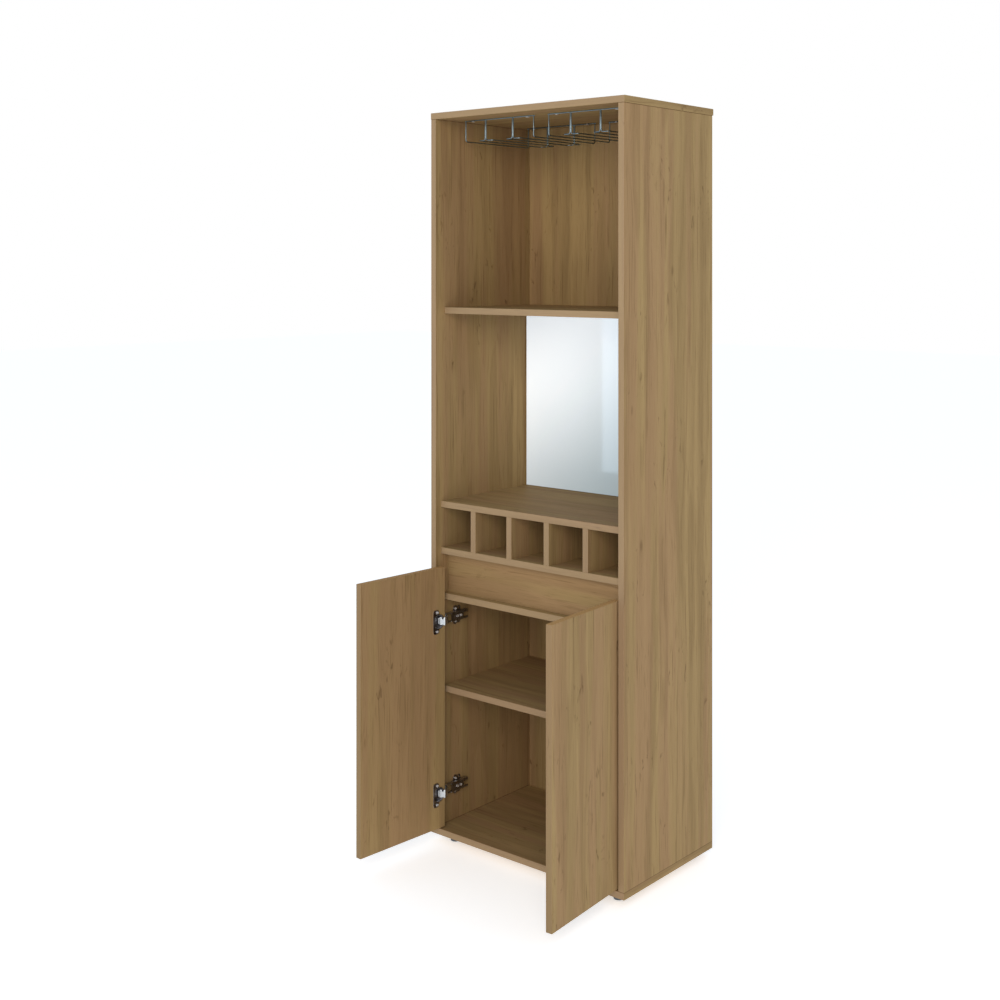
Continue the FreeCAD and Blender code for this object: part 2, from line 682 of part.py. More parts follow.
# A channel of sheet metal, open towards the side panel, whose two cheeks hold the pin, with a
# notch in its rear end.
# Its outline runs along the side panel's inner face and back from the carcass front.
def arm(level):
    nose = ("arm_pin_inset - arm_nose_radius", "arm_pin_inset + arm_nose_radius")
    tail = "arm_end_setback"
    cheek = [
        (nose[0], "arm_pin_setback"),
        ("arm_pin_inset", "arm_pin_setback - arm_nose_radius"),
        (nose[1], "arm_pin_setback"),
        ("arm_rise", "arm_web_setback"),
        ("arm_rise", tail),
        ("arm_foot_rise", tail),
        ("arm_foot_rise", "arm_web_setback"),
    ]
    below = "arm_foot_rise - arm_nose_radius"
    ahead = "arm_pin_setback - arm_nose_radius - cut_overrun"
    behind = "arm_end_setback + cut_overrun"
    inside = [
        (below, ahead),
        ("arm_rise + cut_overrun", ahead),
        ("arm_rise + cut_overrun", "arm_web_setback"),
        ("arm_rise - arm_wall", "arm_web_setback"),
        ("arm_rise - arm_wall", behind),
        (below, behind),
    ]
    body = padded(f"{level}_arm_channel", cheek, "arm_outer_height")
    pocketed(body, inside, "arm_channel_height")
    tall = ("-arm_outer_height", "arm_outer_height")
    drills = [rod(f"{level}_arm_pin_hole", "arm_pin_radius", "arm_pin_inset", "arm_pin_setback", tall)]
    through = ("arm_foot_rise", "arm_rise + cut_overrun")
    for screw in ("side", "depth"):
        radius = "arm_screw_radius + bore_clearance"
        drills.append(rod(f"{level}_{screw}_screw_hole", radius, through, f"{screw}_screw_setback", "0"))
    notch = "arm_end_setback - arm_notch_depth + arm_notch_radius"
    notch_rise = ("-arm_notch_radius", "arm_notch_radius")
    drills.append(rod(f"{level}_arm_notch_end", "arm_notch_radius", through, notch, "0"))
    drills.append(block(f"{level}_arm_notch", through, (notch, behind), notch_rise))
    item = cut(f"{level}_arm", body, drills)
    seat(item, "-half_width", "front_plane", hinge_axis(level))
    node_pair(f"{level}_hinge_arm", item)
    pin = ("-arm_outer_height / 2", "arm_outer_height / 2")
    return rod(f"{level}_arm_pin", "arm_pin_radius", "arm_pin_inset", "arm_pin_setback", pin)


# The plate under the arm: a rail along the side panel and two wings, each with a screw and an
# open eye behind it.
def plate(level):
    wall = "board_thickness"
    rail = (wall, f"{wall} + plate_rise")
    flat = (wall, f"{wall} + plate_wing_thickness")
    length = ("plate_setback", "plate_setback + plate_length")
    width = ("-plate_width / 2", "plate_width / 2")
    half_pitch = "plate_screw_pitch / 2"
    wings = ("plate_screw_setback - plate_wing_radius", "plate_eye_setback + plate_eye_radius")
    pieces = [
        block(f"{level}_plate_rail", rail, length, width),
        block(f"{level}_plate_wings", flat, wings, (f"-{half_pitch}", half_pitch)),
    ]
    drills = []
    through = (f"{wall} - cut_overrun", f"{wall} + plate_wing_thickness + cut_overrun")
    for end, height in zip(("low", "high"), (f"-{half_pitch}", half_pitch)):
        pieces.append(rod(f"{level}_{end}_wing", "plate_wing_radius", flat, "plate_screw_setback", height))
        radius = "wood_screw_radius + bore_clearance"
        drills.append(rod(f"{level}_{end}_wing_hole", radius, through, "plate_screw_setback", height))
        eye = ("plate_eye_setback", height)
        pieces.append(rod(f"{level}_{end}_eye", "plate_eye_radius", flat, *eye))
        drills.append(rod(f"{level}_{end}_eye_hole", "plate_eye_hole_radius", through, *eye))
    for screw in ("side", "depth"):
        tip = f"{wall} + plate_rise - arm_screw_bite - bore_clearance"
        span = (tip, f"{wall} + plate_rise + cut_overrun")
        radius = "arm_screw_radius + bore_clearance"
        drills.append(rod(f"{level}_{screw}_rail_hole", radius, span, f"{screw}_screw_setback", "0"))
    item = cut(f"{level}_plate", join(f"{level}_plate_solid", pieces), drills)
    seat(item, "-half_width", "front_plane", hinge_axis(level))
    node_pair(f"{level}_mounting_plate", item)


# Screws of one hinge on the side panel, as (plate screws, arm screws).
def plate_and_arm_screws(level):
    face = "board_thickness + plate_wing_thickness"
    plate_screws, arm_screws = [], []
    for end, sign in (("low", "-"), ("high", "")):
        height = f"{sign}plate_screw_pitch / 2"
        name = f"{level}_{end}_plate_screw"
        spot = ("plate_screw_setback", height)
        shank = rod(name + "_shank", "wood_screw_radius", (f"{face} - wood_screw_bite", face), *spot)
        head_span = (face, f"{face} + wood_screw_head_height")
        head = rod(name + "_head", "wood_screw_head_radius", head_span, *spot)
        plate_screws.append(join(name, [shank, head]))
    for screw in ("side", "depth"):
        name = f"{level}_{screw}_arm_screw"
        tip = "board_thickness + plate_rise - arm_screw_bite"
        spot = (f"{screw}_screw_setback", "0")
        shank = rod(name + "_shank", "arm_screw_radius", (tip, "arm_rise"), *spot)
        head_span = ("arm_rise", "arm_rise + arm_screw_head_height")
        head = rod(name + "_head", "arm_screw_head_radius", head_span, *spot)
        arm_screws.append(join(name, [shank, head]))
    return plate_screws, arm_screws


# Pieces of one hinge, made at the corner of the left side panel, gathered for both sides.
def both_sides(name, pieces, level):
    left = gather(f"{level}_{name}_left", pieces)
    seat(left, "-half_width", "front_plane", hinge_axis(level))
    right = doc.addObject("Part::Mirroring", f"{level}_{name}_right")
    right.Source = left
    right.Normal = Vector(1, 0, 0)
    return [left, right]


def hinges():
    pins, plate_screws, arm_screws = [], [], []
    for level in ("lower", "upper"):
        link(level)
        pins += both_sides("pins", [arm(level)], level)
        plate(level)
        on_plate, on_arm = plate_and_arm_screws(level)
        plate_screws += both_sides("plate_screws", on_plate, level)
        arm_screws += both_sides("arm_screws", on_arm, level)
    node("hinge_pins", gather("hinge_pins", pins))
    node("mounting_plate_screws", gather("mounting_plate_screws", plate_screws))
    node("arm_screws", gather("arm_screws", arm_screws))


# Bores in the side panels for the screws of the mounting plates.
def plate_screw_bores():
    face = "clear_half - plate_wing_thickness"
    tip = f"{face} + wood_screw_bite + bore_clearance"
    for side in ("left", "right"):
        span = across(side, face, tip)
        for level in ("lower", "upper"):
            for end, sign in (("low", "-"), ("high", "+")):
                height = f"{hinge_axis(level)} {sign} plate_screw_pitch / 2"
                name = f"{side}_{level}_{end}_plate_bore"
                depth = "front_plane + plate_screw_setback"
                bore = rod(name, "wood_screw_radius + bore_clearance", span, depth, height)
                bores[side + "_side_panel"].append(bore)


# A round wire through given points, each inner corner bent to the same radius.
def wire(points, radius, bend):
    pieces = []
    start = points[0]
    for before, corner, after in zip(points, points[1:], points[2:]):
        incoming = (corner - before).normalize()
        outgoing = (after - corner).normalize()
        entry = corner - incoming * bend
        leave = corner + outgoing * bend
        pieces.append(Part.LineSegment(start, entry).toShape())
        centre = entry + outgoing * bend
        middle = centre + (corner - centre).normalize() * bend
        pieces.append(Part.Arc(entry, middle, leave).toShape())
        start = leave
    pieces.append(Part.LineSegment(start, points[-1]).toShape())
    spine = Part.Wire(pieces)
    heading = (points[1] - points[0]).normalize()
    section = Part.Wire(Part.makeCircle(radius, points[0], heading))
    return spine.makePipeShell([section], True, False)


# A rack of bent wire: two single hangers at its sides, and pairs that part into a rail each
# way, so that the feet of glasses slide in between the rails.
def stemware_rack(name, shift):
    radius, bend = value("rack_wire_radius"), value("rack_bend_radius")
    pitch, width, length = value("rack_rail_pitch"), value("rack_width"), value("rack_length")
    drop = value("rack_drop - rack_wire_radius")
    half_gap = value("rack_pair_spacing / 2")
    parts = []
    overhang = value("rack_bar_overhang")
    for depth in (0, length):
        end = Vector(-overhang, depth, 0)
        parts.append(Part.makeCylinder(radius, width + 2 * overhang, end, Vector(1, 0, 0)))
    for number in range(RACK_RAIL_COUNT):
        rail = number * pitch
        hanger = rail
        if 0 < number < RACK_RAIL_COUNT - 1:
            lean = 1 if number % 2 else -1
            hanger = rail + lean * (pitch / 2 - half_gap)
        front = [Vector(hanger, 0, 0), Vector(hanger, 0, -drop)]
        rear = [Vector(hanger, length, -drop), Vector(hanger, length, 0)]
        if hanger != rail:
            front.append(Vector(rail, 0, -drop))
            rear.insert(0, Vector(rail, length, -drop))
        parts.append(wire(front + rear, radius, bend))
    item = doc.addObject("Part::Feature", name)
    item.Shape = parts[0].multiFuse(parts[1:])
    seat(item, f"rack_left + {shift}", "rack_front", "wire_top")
    return node(name, item)


# Screws with wide heads, whose rims hold the racks' top wires against the top panel.
def rack_screws():
    screws = []
    seat_height = "top_face - 2 * rack_wire_radius"
    offset = "(rack_wire_radius + wood_screw_radius + bore_clearance)"
    for number, shift in enumerate(("0", "rack_spacing")):
        for end, share in (("near", "1 / 2"), ("far", "(rack_rail_count - 1 - 1 / 2)")):
            x = f"rack_left + {shift} + rack_rail_pitch * {share}"
            depths = {"front": f"rack_front + {offset}", "rear": f"rack_rear - {offset}"}
            for where, depth in depths.items():
                shank = []
                span = (seat_height, "top_face + wood_screw_bite")
                fasten(shank, ["top_panel"], "wood_screw_radius", x, depth, span)
                label = f"rack_screw_{number}_{end}_{where}"
                shank[0].Label = label + "_shank"
                head_span = (f"{seat_height} - wood_screw_head_height", seat_height)
                head = rod(label + "_head", "rack_screw_head_radius", x, depth, head_span)
                screws.append(join(label, [shank[0], head]))
    node("rack_screws", gather("rack_screws", screws))


carcass_fittings()
shelf_pins()
back_nails()
feet()
plate_screw_bores()
rack_screws()
carcass()
back_panels()
mirror()
doors_and_cups()
hinges()
stemware_rack("left_stemware_rack", "0")
stemware_rack("right_stemware_rack", "rack_spacing")
doc.recompute()

failed = [item.Name for item in doc.Objects if {"Invalid", "Error"} & set(item.State)]
if failed:
    raise RuntimeError(f"objects that failed: {failed}")
for name, item in nodes.items():
    if item.Shape.isNull() or not item.Shape.isValid():
        raise RuntimeError(f"{name} has no valid shape")

os.makedirs("parts", exist_ok=True)
for name, item in nodes.items():
    item.Shape.exportStep(f"parts/{name}.step")
print(f"{len(nodes)} nodes written")
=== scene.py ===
# Wine cabinet in oak-decor laminate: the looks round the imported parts.
# Everything is in metres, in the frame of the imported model: +Z up, the open front faces -Y.

import math

import bmesh
import bpy
import numpy as np
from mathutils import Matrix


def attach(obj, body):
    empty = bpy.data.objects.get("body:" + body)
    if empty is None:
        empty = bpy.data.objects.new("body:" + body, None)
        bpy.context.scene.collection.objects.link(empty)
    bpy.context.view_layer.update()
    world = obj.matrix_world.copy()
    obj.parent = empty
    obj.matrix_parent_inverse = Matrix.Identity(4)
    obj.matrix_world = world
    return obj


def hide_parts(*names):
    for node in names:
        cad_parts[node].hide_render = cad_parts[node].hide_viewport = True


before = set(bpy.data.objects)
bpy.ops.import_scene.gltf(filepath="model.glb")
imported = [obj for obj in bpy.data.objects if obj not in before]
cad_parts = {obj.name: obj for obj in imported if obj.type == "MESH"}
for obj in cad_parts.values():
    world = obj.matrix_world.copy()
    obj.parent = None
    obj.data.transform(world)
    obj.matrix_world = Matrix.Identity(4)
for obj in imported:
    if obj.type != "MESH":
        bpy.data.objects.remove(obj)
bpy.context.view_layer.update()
mm = 0.001


def rgb(hexColour):
    # an sRGB hex colour as the linear colour that shaders take
    parts = [int(hexColour[i:i + 2], 16) / 255 for i in (1, 3, 5)]
    return [p / 12.92 if p <= 0.04045 else ((p + 0.055) / 1.055) ** 2.4 for p in parts] + [1.0]


def addNode(tree, kind, settings=None, values=None, links=None):
    # one shader node with its settings, socket values and incoming links
    node = tree.nodes.new(kind)
    for key, value in (settings or {}).items():
        setattr(node, key, value)
    for key, value in (values or {}).items():
        node.inputs[key].default_value = value
    for key, source in (links or {}).items():
        tree.links.new(source, node.inputs[key])
    return node


def newMaterial(name):
    # a material with its node tree and its shader
    material = bpy.data.materials.new(name)
    material.use_nodes = True
    tree = material.node_tree
    return material, tree, tree.nodes["Principled BSDF"]


def finishWith(obj, material):
    # the object keeps this material alone
    obj.data.materials.clear()
    obj.data.materials.append(material)


# Camera: matched to the photograph by its vanishing points, level, with the horizon above the middle
view = {
    "place": (2.1344, -2.6652, 1.4681),
    "azimuth": 40.22,  # degrees to the right of the front
    "lens": 50.18,  # mm
    "sensor": 36,  # mm across
    "shiftY": -0.2341,  # the photograph's uprights are parallel, so its framing is a shift
}

camera = bpy.data.objects.new("camera", bpy.data.cameras.new("camera"))
bpy.context.scene.collection.objects.link(camera)
camera.location = view["place"]
camera.rotation_euler = (math.radians(90), 0, math.radians(view["azimuth"]))
camera.data.lens = view["lens"]
camera.data.sensor_width = view["sensor"]
camera.data.shift_y = view["shiftY"]
bpy.context.scene.camera = camera
print("camera placed")

# Studio: a white room light, one broad soft light from the front right and a pale floor
studio = {
    "roomColour": "#E3EFFF",
    "roomStrength": 0.66,
    "backdropColour": "#FFFFFF",
    "backdropStrength": 1.0,
    "keyPlace": (2.9, -4.6, 2.6),
    "keyAim": (0.0, 0.0, 0.9),
    "keySize": 3.4,
    "keyPower": 158.0,
    "keyColour": "#FFF2E0",
    "floorColour": "#F8F7F5",
    "floorRoughness": 0.9,
    "floorGlow": 0.5,  # lifts the floor to the backdrop's white
    "floorSize": 40.0,
}

bpy.context.scene.view_settings.view_transform = "Standard"
world = bpy.data.worlds.new("studio")
bpy.context.scene.world = world
world.use_nodes = True
roomTree = world.node_tree
room = roomTree.nodes["Background"]
room.inputs["Color"].default_value = rgb(studio["roomColour"])
room.inputs["Strength"].default_value = studio["roomStrength"]
# the backdrop is seen white, and the room's own light is softer than it
rays = addNode(roomTree, "ShaderNodeLightPath")
backdrop = addNode(roomTree, "ShaderNodeBackground", values={
    "Color": rgb(studio["backdropColour"]), "Strength": studio["backdropStrength"]})
seen = addNode(roomTree, "ShaderNodeMixShader", links={
    0: rays.outputs["Is Camera Ray"], 1: room.outputs[0], 2: backdrop.outputs[0]})
roomTree.links.new(seen.outputs[0], roomTree.nodes["World Output"].inputs["Surface"])

keyLight = bpy.data.objects.new("keyLight", bpy.data.lights.new("keyLight", "AREA"))
keyLight.data.shape = "DISK"
keyLight.data.size = studio["keySize"]
keyLight.data.energy = studio["keyPower"]
keyLight.data.color = rgb(studio["keyColour"])[:3]
keyLight.location = studio["keyPlace"]
aim = np.array(studio["keyAim"]) - np.array(studio["keyPlace"])
keyLight.rotation_euler = (
    math.atan2(math.hypot(aim[0], aim[1]), -aim[2]), 0, math.atan2(aim[1], aim[0]) - math.pi / 2)
bpy.context.scene.collection.objects.link(keyLight)

far = studio["floorSize"] / 2
floorMesh = bpy.data.meshes.new("floor")
floorMesh.from_pydata([(-far, -far, 0), (far, -far, 0), (far, far, 0), (-far, far, 0)], [], [(0, 1, 2, 3)])
floor = bpy.data.objects.new("floor", floorMesh)
bpy.context.scene.collection.objects.link(floor)
floorMaterial, floorTree, floorShader = newMaterial("matt studio floor")
floorShader.inputs["Base Color"].default_value = rgb(studio["floorColour"])
floorShader.inputs["Roughness"].default_value = studio["floorRoughness"]
floorShader.inputs["Emission Color"].default_value = rgb("#FFFFFF")
floorShader.inputs["Emission Strength"].default_value = studio["floorGlow"]
finishWith(floor, floorMaterial)
print("studio lit")

# Oak-decor melamine laminate: printed paper pressed under a matt resin face, so the grain is soft, with broad
# bands of olive and pinkish brown, thin dark streaks that wander a little, and a few smudged knots.
oak = {
    "light": "#A0875D",
    "middle": "#947C55",
    "dark": "#71593A",
    "pink": "#99795A",
    "knot": "#553E27",
    "frontEdgeLight": "#98826A",  # painted light: the front edges are a little paler than the faces
    "doorEdgeShade": "#816D54", "doorTopLight": "#BE915C",  # painted light and shade on the doors' edges: a greyer painted shade on the free edge, a warm painted light on top
    "paintedEdgeShare": 0.6,  # how far the painted light or shade on an edge hides the grain printed on it
    "gloss": 0.04,
    "roughness": 0.56, "roughnessSpread": (-0.05, 0.08),
    "driftWidth": 110, "driftLength": 420, "drift": 7,  # mm: how far a streak wanders sideways
    "bandWidth": 30, "bandLength": 1900,  # mm across and along the grain
    "hueWidth": 46, "hueLength": 1300,
    "figureWidth": 62, "figureLength": 900, "rings": 3.5,
    "streakWidth": 5.5, "streakLength": 190,
    "fibreWidth": 1.8, "fibreLength": 60,  # real pores are 0.3 mm wide, drawn coarser so that they show
    "smudgeWidth": 12, "smudgeLength": 34,
    "knotWidth": 130, "knotLength": 330,
    "jointShadeLine": 1.1,  # mm of dark joint line where a board butts against the next: partly the joint's own colour, partly painted shade of the groove
    "relief": 0.12,  # mm between the bottoms of the fibres and the face
}
# Chipboard core and hardboard backing, where the laminate and its edge band leave them bare: pale flakes
# in a brown ground, and felted brown fibres with faint clouds
core = {
    "chip": "#B4966B", "chipDark": "#7C6040", "chipPale": "#D0B78C", "chipSize": 3.2,
    "hardboard": "#8C6E50", "hardboardDark": "#7D6046", "felt": 2.5,
    "clouds": 9.0,  # per metre
    "roughness": 0.85,
}
facingWay = 0.7  # a face counts as turned along an axis when its normal has more than this share of it


def oakLaminate(name, grain, edgeGrain, shift, rear=None, seams=(), paintedEdgeShading=()):
    # grain and edgeGrain are axis letters: how the grain runs on the faces, and on the edges cut across it.
    # rear is what shows on faces turned to the back: None for laminate, or "chipboard" or "hardboard".
    # seams holds (axis, place in mm) of the butt joints that the board ends at, drawn partly in painted
    # shade, and the last one (axis, side, colour) of the edges with painted light or shade, side being -1 or
    # 1 along the axis.
    material, tree, shader = newMaterial(name)
    where = addNode(tree, "ShaderNodeTexCoord")
    real = addNode(tree, "ShaderNodeSeparateXYZ", links={"Vector": where.outputs["Object"]})
    moved = addNode(tree, "ShaderNodeMapping", values={"Location": shift}, links={
        "Vector": where.outputs["Object"]})
    axes = addNode(tree, "ShaderNodeSeparateXYZ", links={"Vector": moved.outputs[0]})
    normal = addNode(tree, "ShaderNodeSeparateXYZ", links={"Vector": where.outputs["Normal"]})

    def calc(operation, a, b=None):
        # one Math node, with sockets or plain numbers
        node = addNode(tree, "ShaderNodeMath", {"operation": operation})
        for index, source in enumerate((a, b)):
            if isinstance(source, (int, float)):
                node.inputs[index].default_value = source
            elif source is not None:
                tree.links.new(source, node.inputs[index])
        return node.outputs[0]

    def ordered(first):
        # the grain axis comes first, so every pattern is stretched along it
        rest = [a for a in "XYZ" if a != first]
        return addNode(tree, "ShaderNodeCombineXYZ", links={
            "X": axes.outputs[first], "Y": axes.outputs[rest[0]], "Z": axes.outputs[rest[1]]}).outputs[0]

    onEdge = calc("GREATER_THAN", calc("ABSOLUTE", normal.outputs[grain]), facingWay)
    straight = addNode(tree, "ShaderNodeMix", {"data_type": "VECTOR"}, links={
        "Factor": onEdge, 4: ordered(grain), 5: ordered(edgeGrain)}).outputs[1]

    def stretch(source, width, length):
        # a pattern one unit across becomes width mm across the grain and length mm along it
        return addNode(tree, "ShaderNodeMapping", values={
            "Scale": (1000 / length, 1000 / width, 1000 / width)}, links={"Vector": source}).outputs[0]

    # the streaks wander: a slow noise, less its mean, times the drift, is added across the grain
    slow = addNode(tree, "ShaderNodeTexNoise", values={"Scale": 1.0, "Detail": 2.0, "Roughness": 0.45},
                   links={"Vector": stretch(straight, oak["driftWidth"], oak["driftLength"])})
    reach = oak["drift"] * mm
    sideways = addNode(tree, "ShaderNodeVectorMath", {"operation": "MULTIPLY_ADD"}, {
        1: (0.0, 4 * reach, 4 * reach), 2: (0.0, -2 * reach, -2 * reach)}, {0: slow.outputs["Color"]})
    place = addNode(tree, "ShaderNodeVectorMath", {"operation": "ADD"}, links={
        0: straight, 1: sideways.outputs[0]}).outputs[0]

    def noise(width, length, detail, roughness=0.5, distortion=0.0):
        # a noise whose blotches are about width by length mm
        return addNode(tree, "ShaderNodeTexNoise", values={
            "Scale": 1.0, "Detail": detail, "Roughness": roughness, "Distortion": distortion},
            links={"Vector": stretch(place, width, length)}).outputs[0]

    def spread(source, low, high, toLow=0.0, toHigh=1.0):
        # values from low to high become values from toLow to toHigh, with soft ends
        return addNode(tree, "ShaderNodeMapRange", {"interpolation_type": "SMOOTHSTEP"}, {
            "From Min": low, "From Max": high, "To Min": toLow, "To Max": toHigh}, {
            "Value": source}).outputs[0]

    def blend(factor, a, b):
        # a where factor is 0, b where it is 1
        mixed = addNode(tree, "ShaderNodeMix", {"data_type": "RGBA"})
        for key, source in (("Factor", factor), (6, a), (7, b)):
            if isinstance(source, (float, list)):
                mixed.inputs[key].default_value = source
            else:
                tree.links.new(source, mixed.inputs[key])
        return mixed.outputs[2]

    bands = noise(oak["bandWidth"], oak["bandLength"], 2.0, 0.55)
    hues = noise(oak["hueWidth"], oak["hueLength"], 1.5)
    figure = noise(oak["figureWidth"], oak["figureLength"], 1.5, 0.45)
    streaks = noise(oak["streakWidth"], oak["streakLength"], 3.0, 0.55)
    longStreaks = noise(oak["streakWidth"] * 0.8, oak["streakLength"] * 2.2, 2.0, 0.5)
    fibres = noise(oak["fibreWidth"], oak["fibreLength"], 2.0, 0.6)
    smudges = noise(oak["smudgeWidth"], oak["smudgeLength"], 2.0, 0.5, 0.8)
    sparse = noise(oak["smudgeWidth"] * 6, oak["smudgeLength"] * 4, 1.0)

    # growth rings are the contour lines of a slow noise: the sine of its value times the ring count
    ringWave = calc("SINE", calc("MULTIPLY", figure, oak["rings"] * 2 * math.pi))
    knots = addNode(tree, "ShaderNodeTexVoronoi", values={"Scale": 1.0, "Randomness": 1.0}, links={
        "Vector": stretch(place, oak["knotWidth"], oak["knotLength"])}).outputs["Distance"]

    colour = blend(spread(bands, 0.34, 0.66), rgb(oak["middle"]), rgb(oak["light"]))
    colour = blend(spread(hues, 0.42, 0.62, 0.0, 0.55), colour, rgb(oak["pink"]))
    colour = blend(spread(ringWave, 0.2, 1.0, 0.0, 0.22), colour, rgb(oak["dark"]))
    colour = blend(spread(longStreaks, 0.6, 0.74, 0.0, 0.55), colour, rgb(oak["dark"]))
    colour = blend(spread(streaks, 0.56, 0.76, 0.0, 0.5), colour, rgb(oak["dark"]))
    colour = blend(spread(fibres, 0.5, 0.8, 0.0, 0.3), colour, rgb(oak["dark"]))
    colour = blend(spread(fibres, 0.45, 0.2, 0.0, 0.25), colour, rgb(oak["light"]))
    colour = blend(calc("MULTIPLY", spread(smudges, 0.58, 0.78, 0.0, 0.6), spread(sparse, 0.56, 0.68)),
                   colour, rgb(oak["knot"]))
    colour = blend(spread(knots, 0.06, 0.015, 0.0, 0.4), colour, rgb(oak["knot"]))
    # painted light and shade on the listed edges: paler front edges, greyer free edges and warm tops of the
    # doors
    for axis, side, tone in paintedEdgeShading:
        onPaintedEdge = calc("GREATER_THAN", calc("MULTIPLY", normal.outputs[axis], side), facingWay)
        colour = blend(calc("MULTIPLY", onPaintedEdge, oak["paintedEdgeShare"]), colour, rgb(tone))
    # a dark line along each butt joint: partly the joint's own dark colour, partly painted shade of the
    # groove between the boards
    for axis, at in seams:
        gap = calc("ABSOLUTE", calc("SUBTRACT", real.outputs[axis], at * mm))
        line = spread(gap, oak["jointShadeLine"] * 1.6 * mm, oak["jointShadeLine"] * 0.8 * mm, 0.0, 0.7)
        colour = blend(line, colour, rgb(oak["knot"]))

    roughness = spread(fibres, 0.2, 0.8, *(oak["roughness"] + change for change in oak["roughnessSpread"]))
    if rear:
        # the rear of the board is bare: flakes of chip, or felted fibres
        bare = calc("GREATER_THAN", normal.outputs["Y"], facingWay)
        size = core["chipSize"] if rear == "chipboard" else core["felt"]
        flakes = addNode(tree, "ShaderNodeTexVoronoi", {"feature": "F1"}, {
            "Scale": 1000 / size, "Randomness": 1.0}, {"Vector": moved.outputs[0]})
        flake = addNode(tree, "ShaderNodeSeparateXYZ", links={"Vector": flakes.outputs["Color"]}).outputs["X"]
        cloudy = addNode(tree, "ShaderNodeTexNoise", values={
            "Scale": core["clouds"], "Detail": 5.0, "Roughness": 0.6}, links={
            "Vector": moved.outputs[0]}).outputs[0]
        if rear == "chipboard":
            raw = blend(spread(flake, 0.0, 0.6), rgb(core["chipDark"]), rgb(core["chip"]))
            raw = blend(spread(flake, 0.7, 1.0), raw, rgb(core["chipPale"]))
        else:
            raw = blend(spread(cloudy, 0.35, 0.65), rgb(core["hardboardDark"]), rgb(core["hardboard"]))
            raw = blend(spread(flake, 0.5, 1.0, 0.0, 0.2), raw, rgb(core["chip"]))
        colour = blend(bare, colour, raw)
        roughness = addNode(tree, "ShaderNodeMix", {"data_type": "FLOAT"}, {3: core["roughness"]}, {
            "Factor": bare, 2: roughness}).outputs[0]
    relief = addNode(tree, "ShaderNodeBump", values={
        "Strength": 0.15, "Distance": oak["relief"] * mm}, links={"Height": fibres})
    shader.inputs["Specular IOR Level"].default_value = oak["gloss"]
    tree.links.new(colour, shader.inputs["Base Color"])
    tree.links.new(roughness, shader.inputs["Roughness"])
    tree.links.new(relief.outputs[0], shader.inputs["Normal"])
    return material


# Kinds of board: the grain of its faces, the grain of its cut edges, what its rear shows, its butt joints
# in mm, and its edges with a painted light or shade of their own
# painted light: the front edges of lying boards, sides and dividers are drawn paler than the faces
frontEdgePaintedLight = (("Y", -1, oak["frontEdgeLight"]),)
kinds = {
    "lying": ("X", "Y", "chipboard", (), frontEdgePaintedLight),
    "apron": ("X", "Z", None, (), ()),
    "side": ("Z", "Y", "chipboard", (("Z", 38.0), ("Z", 1842.0)), frontEdgePaintedLight),
    "divider": ("Z", "Y", "chipboard", (), frontEdgePaintedLight),
    "back": ("Z", "X", None, (), ()),
    "backPanel": ("Z", "X", "hardboard", (), ()),
    # the doors' free edges get a painted shade and their tops a painted warm light
    "door": ("Z", "Y", None, (), (("Y", -1, oak["doorEdgeShade"]), ("Z", 1, oak["doorTopLight"]))),
}
boards = {
    "top_panel": "lying", "bottom_panel": "lying", "upper_shelf": "lying", "counter_shelf": "lying",
    "bottle_rack_floor": "lying", "recess_panel": "apron", "cupboard_top": "lying",
    "cupboard_shelf": "lying", "left_side_panel": "side", "right_side_panel": "side",
    "middle_back_board": "back", "upper_back_panel": "backPanel", "lower_back_panel": "backPanel",
    "left_door": "door", "right_door": "door", "bottle_divider_1": "divider",
    "bottle_divider_2": "divider", "bottle_divider_3": "divider", "bottle_divider_4": "divider",
}
sheetStep = np.array((1.37, 2.11, 0.83))  # metres along the printed pattern from one board to the next
for number, (name, kind) in enumerate(boards.items()):
    grain, edgeGrain, rear, seams, paintedEdgeShading = kinds[kind]
    finishWith(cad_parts[name], oakLaminate(
        "oak laminate " + name.replace("_", " "), grain, edgeGrain, sheetStep * number, rear, seams,
        paintedEdgeShading))
print("boards finished")


# Ways of making the small pieces: every surface is a grid of points in millimetres, made as whole arrays
def gridFaces(rows, columns):
    # four-sided faces between neighbouring rows and columns, the last column joined to the first
    index = np.arange(rows * columns).reshape(rows, columns)
    beside = np.roll(index, -1, axis=1)
    return np.stack([index[:-1], beside[:-1], beside[1:], index[1:]], axis=-1).reshape(-1, 4)


def aroundAxis(r, h, centre, axis, start):
    # point = centre + r (u cos t + v sin t) + h axis, where u is the start direction and v is at right angles
    # to it; r and h are grids with one row for each step of the profile and one column for each angle t
    r, h = np.broadcast_arrays(np.asarray(r, float), np.asarray(h, float))
    along, u = np.array(axis, float), np.array(start, float)
    t = np.linspace(0, 2 * np.pi, r.shape[1], endpoint=False)
    ring = np.cos(t)[:, None] * u + np.sin(t)[:, None] * np.cross(along, u)
    points = np.array(centre, float) + r[..., None] * ring + h[..., None] * along
    return points.reshape(-1, 3), gridFaces(*r.shape)


def turned(profile, centre, axis, start, sides=32):
    # a profile of (radius, height) pairs turned about an axis
    profile = np.array(profile, float)
    return aroundAxis(np.repeat(profile[:, :1], sides, axis=1), profile[:, 1:], centre, axis, start)


def bentPath(corners, bend, steps=9):
    # straight runs whose right-angled corners become arcs: centre - out b cos a + into b sin a
    corners = np.array(corners, float)
    pieces = [corners[:1]]
    quarter = np.linspace(0, np.pi / 2, steps)[:, None]
    for before, corner, after in zip(corners, corners[1:], corners[2:]):
        into = (corner - before) / np.linalg.norm(corner - before)
        out = (after - corner) / np.linalg.norm(after - corner)
        centre = corner - bend * into + bend * out
        pieces.append(centre - bend * out * np.cos(quarter) + bend * into * np.sin(quarter))
    pieces.append(corners[-1:])
    return np.concatenate(pieces)


endDome = 0.6  # the end of a tube domes out by this share of its radius


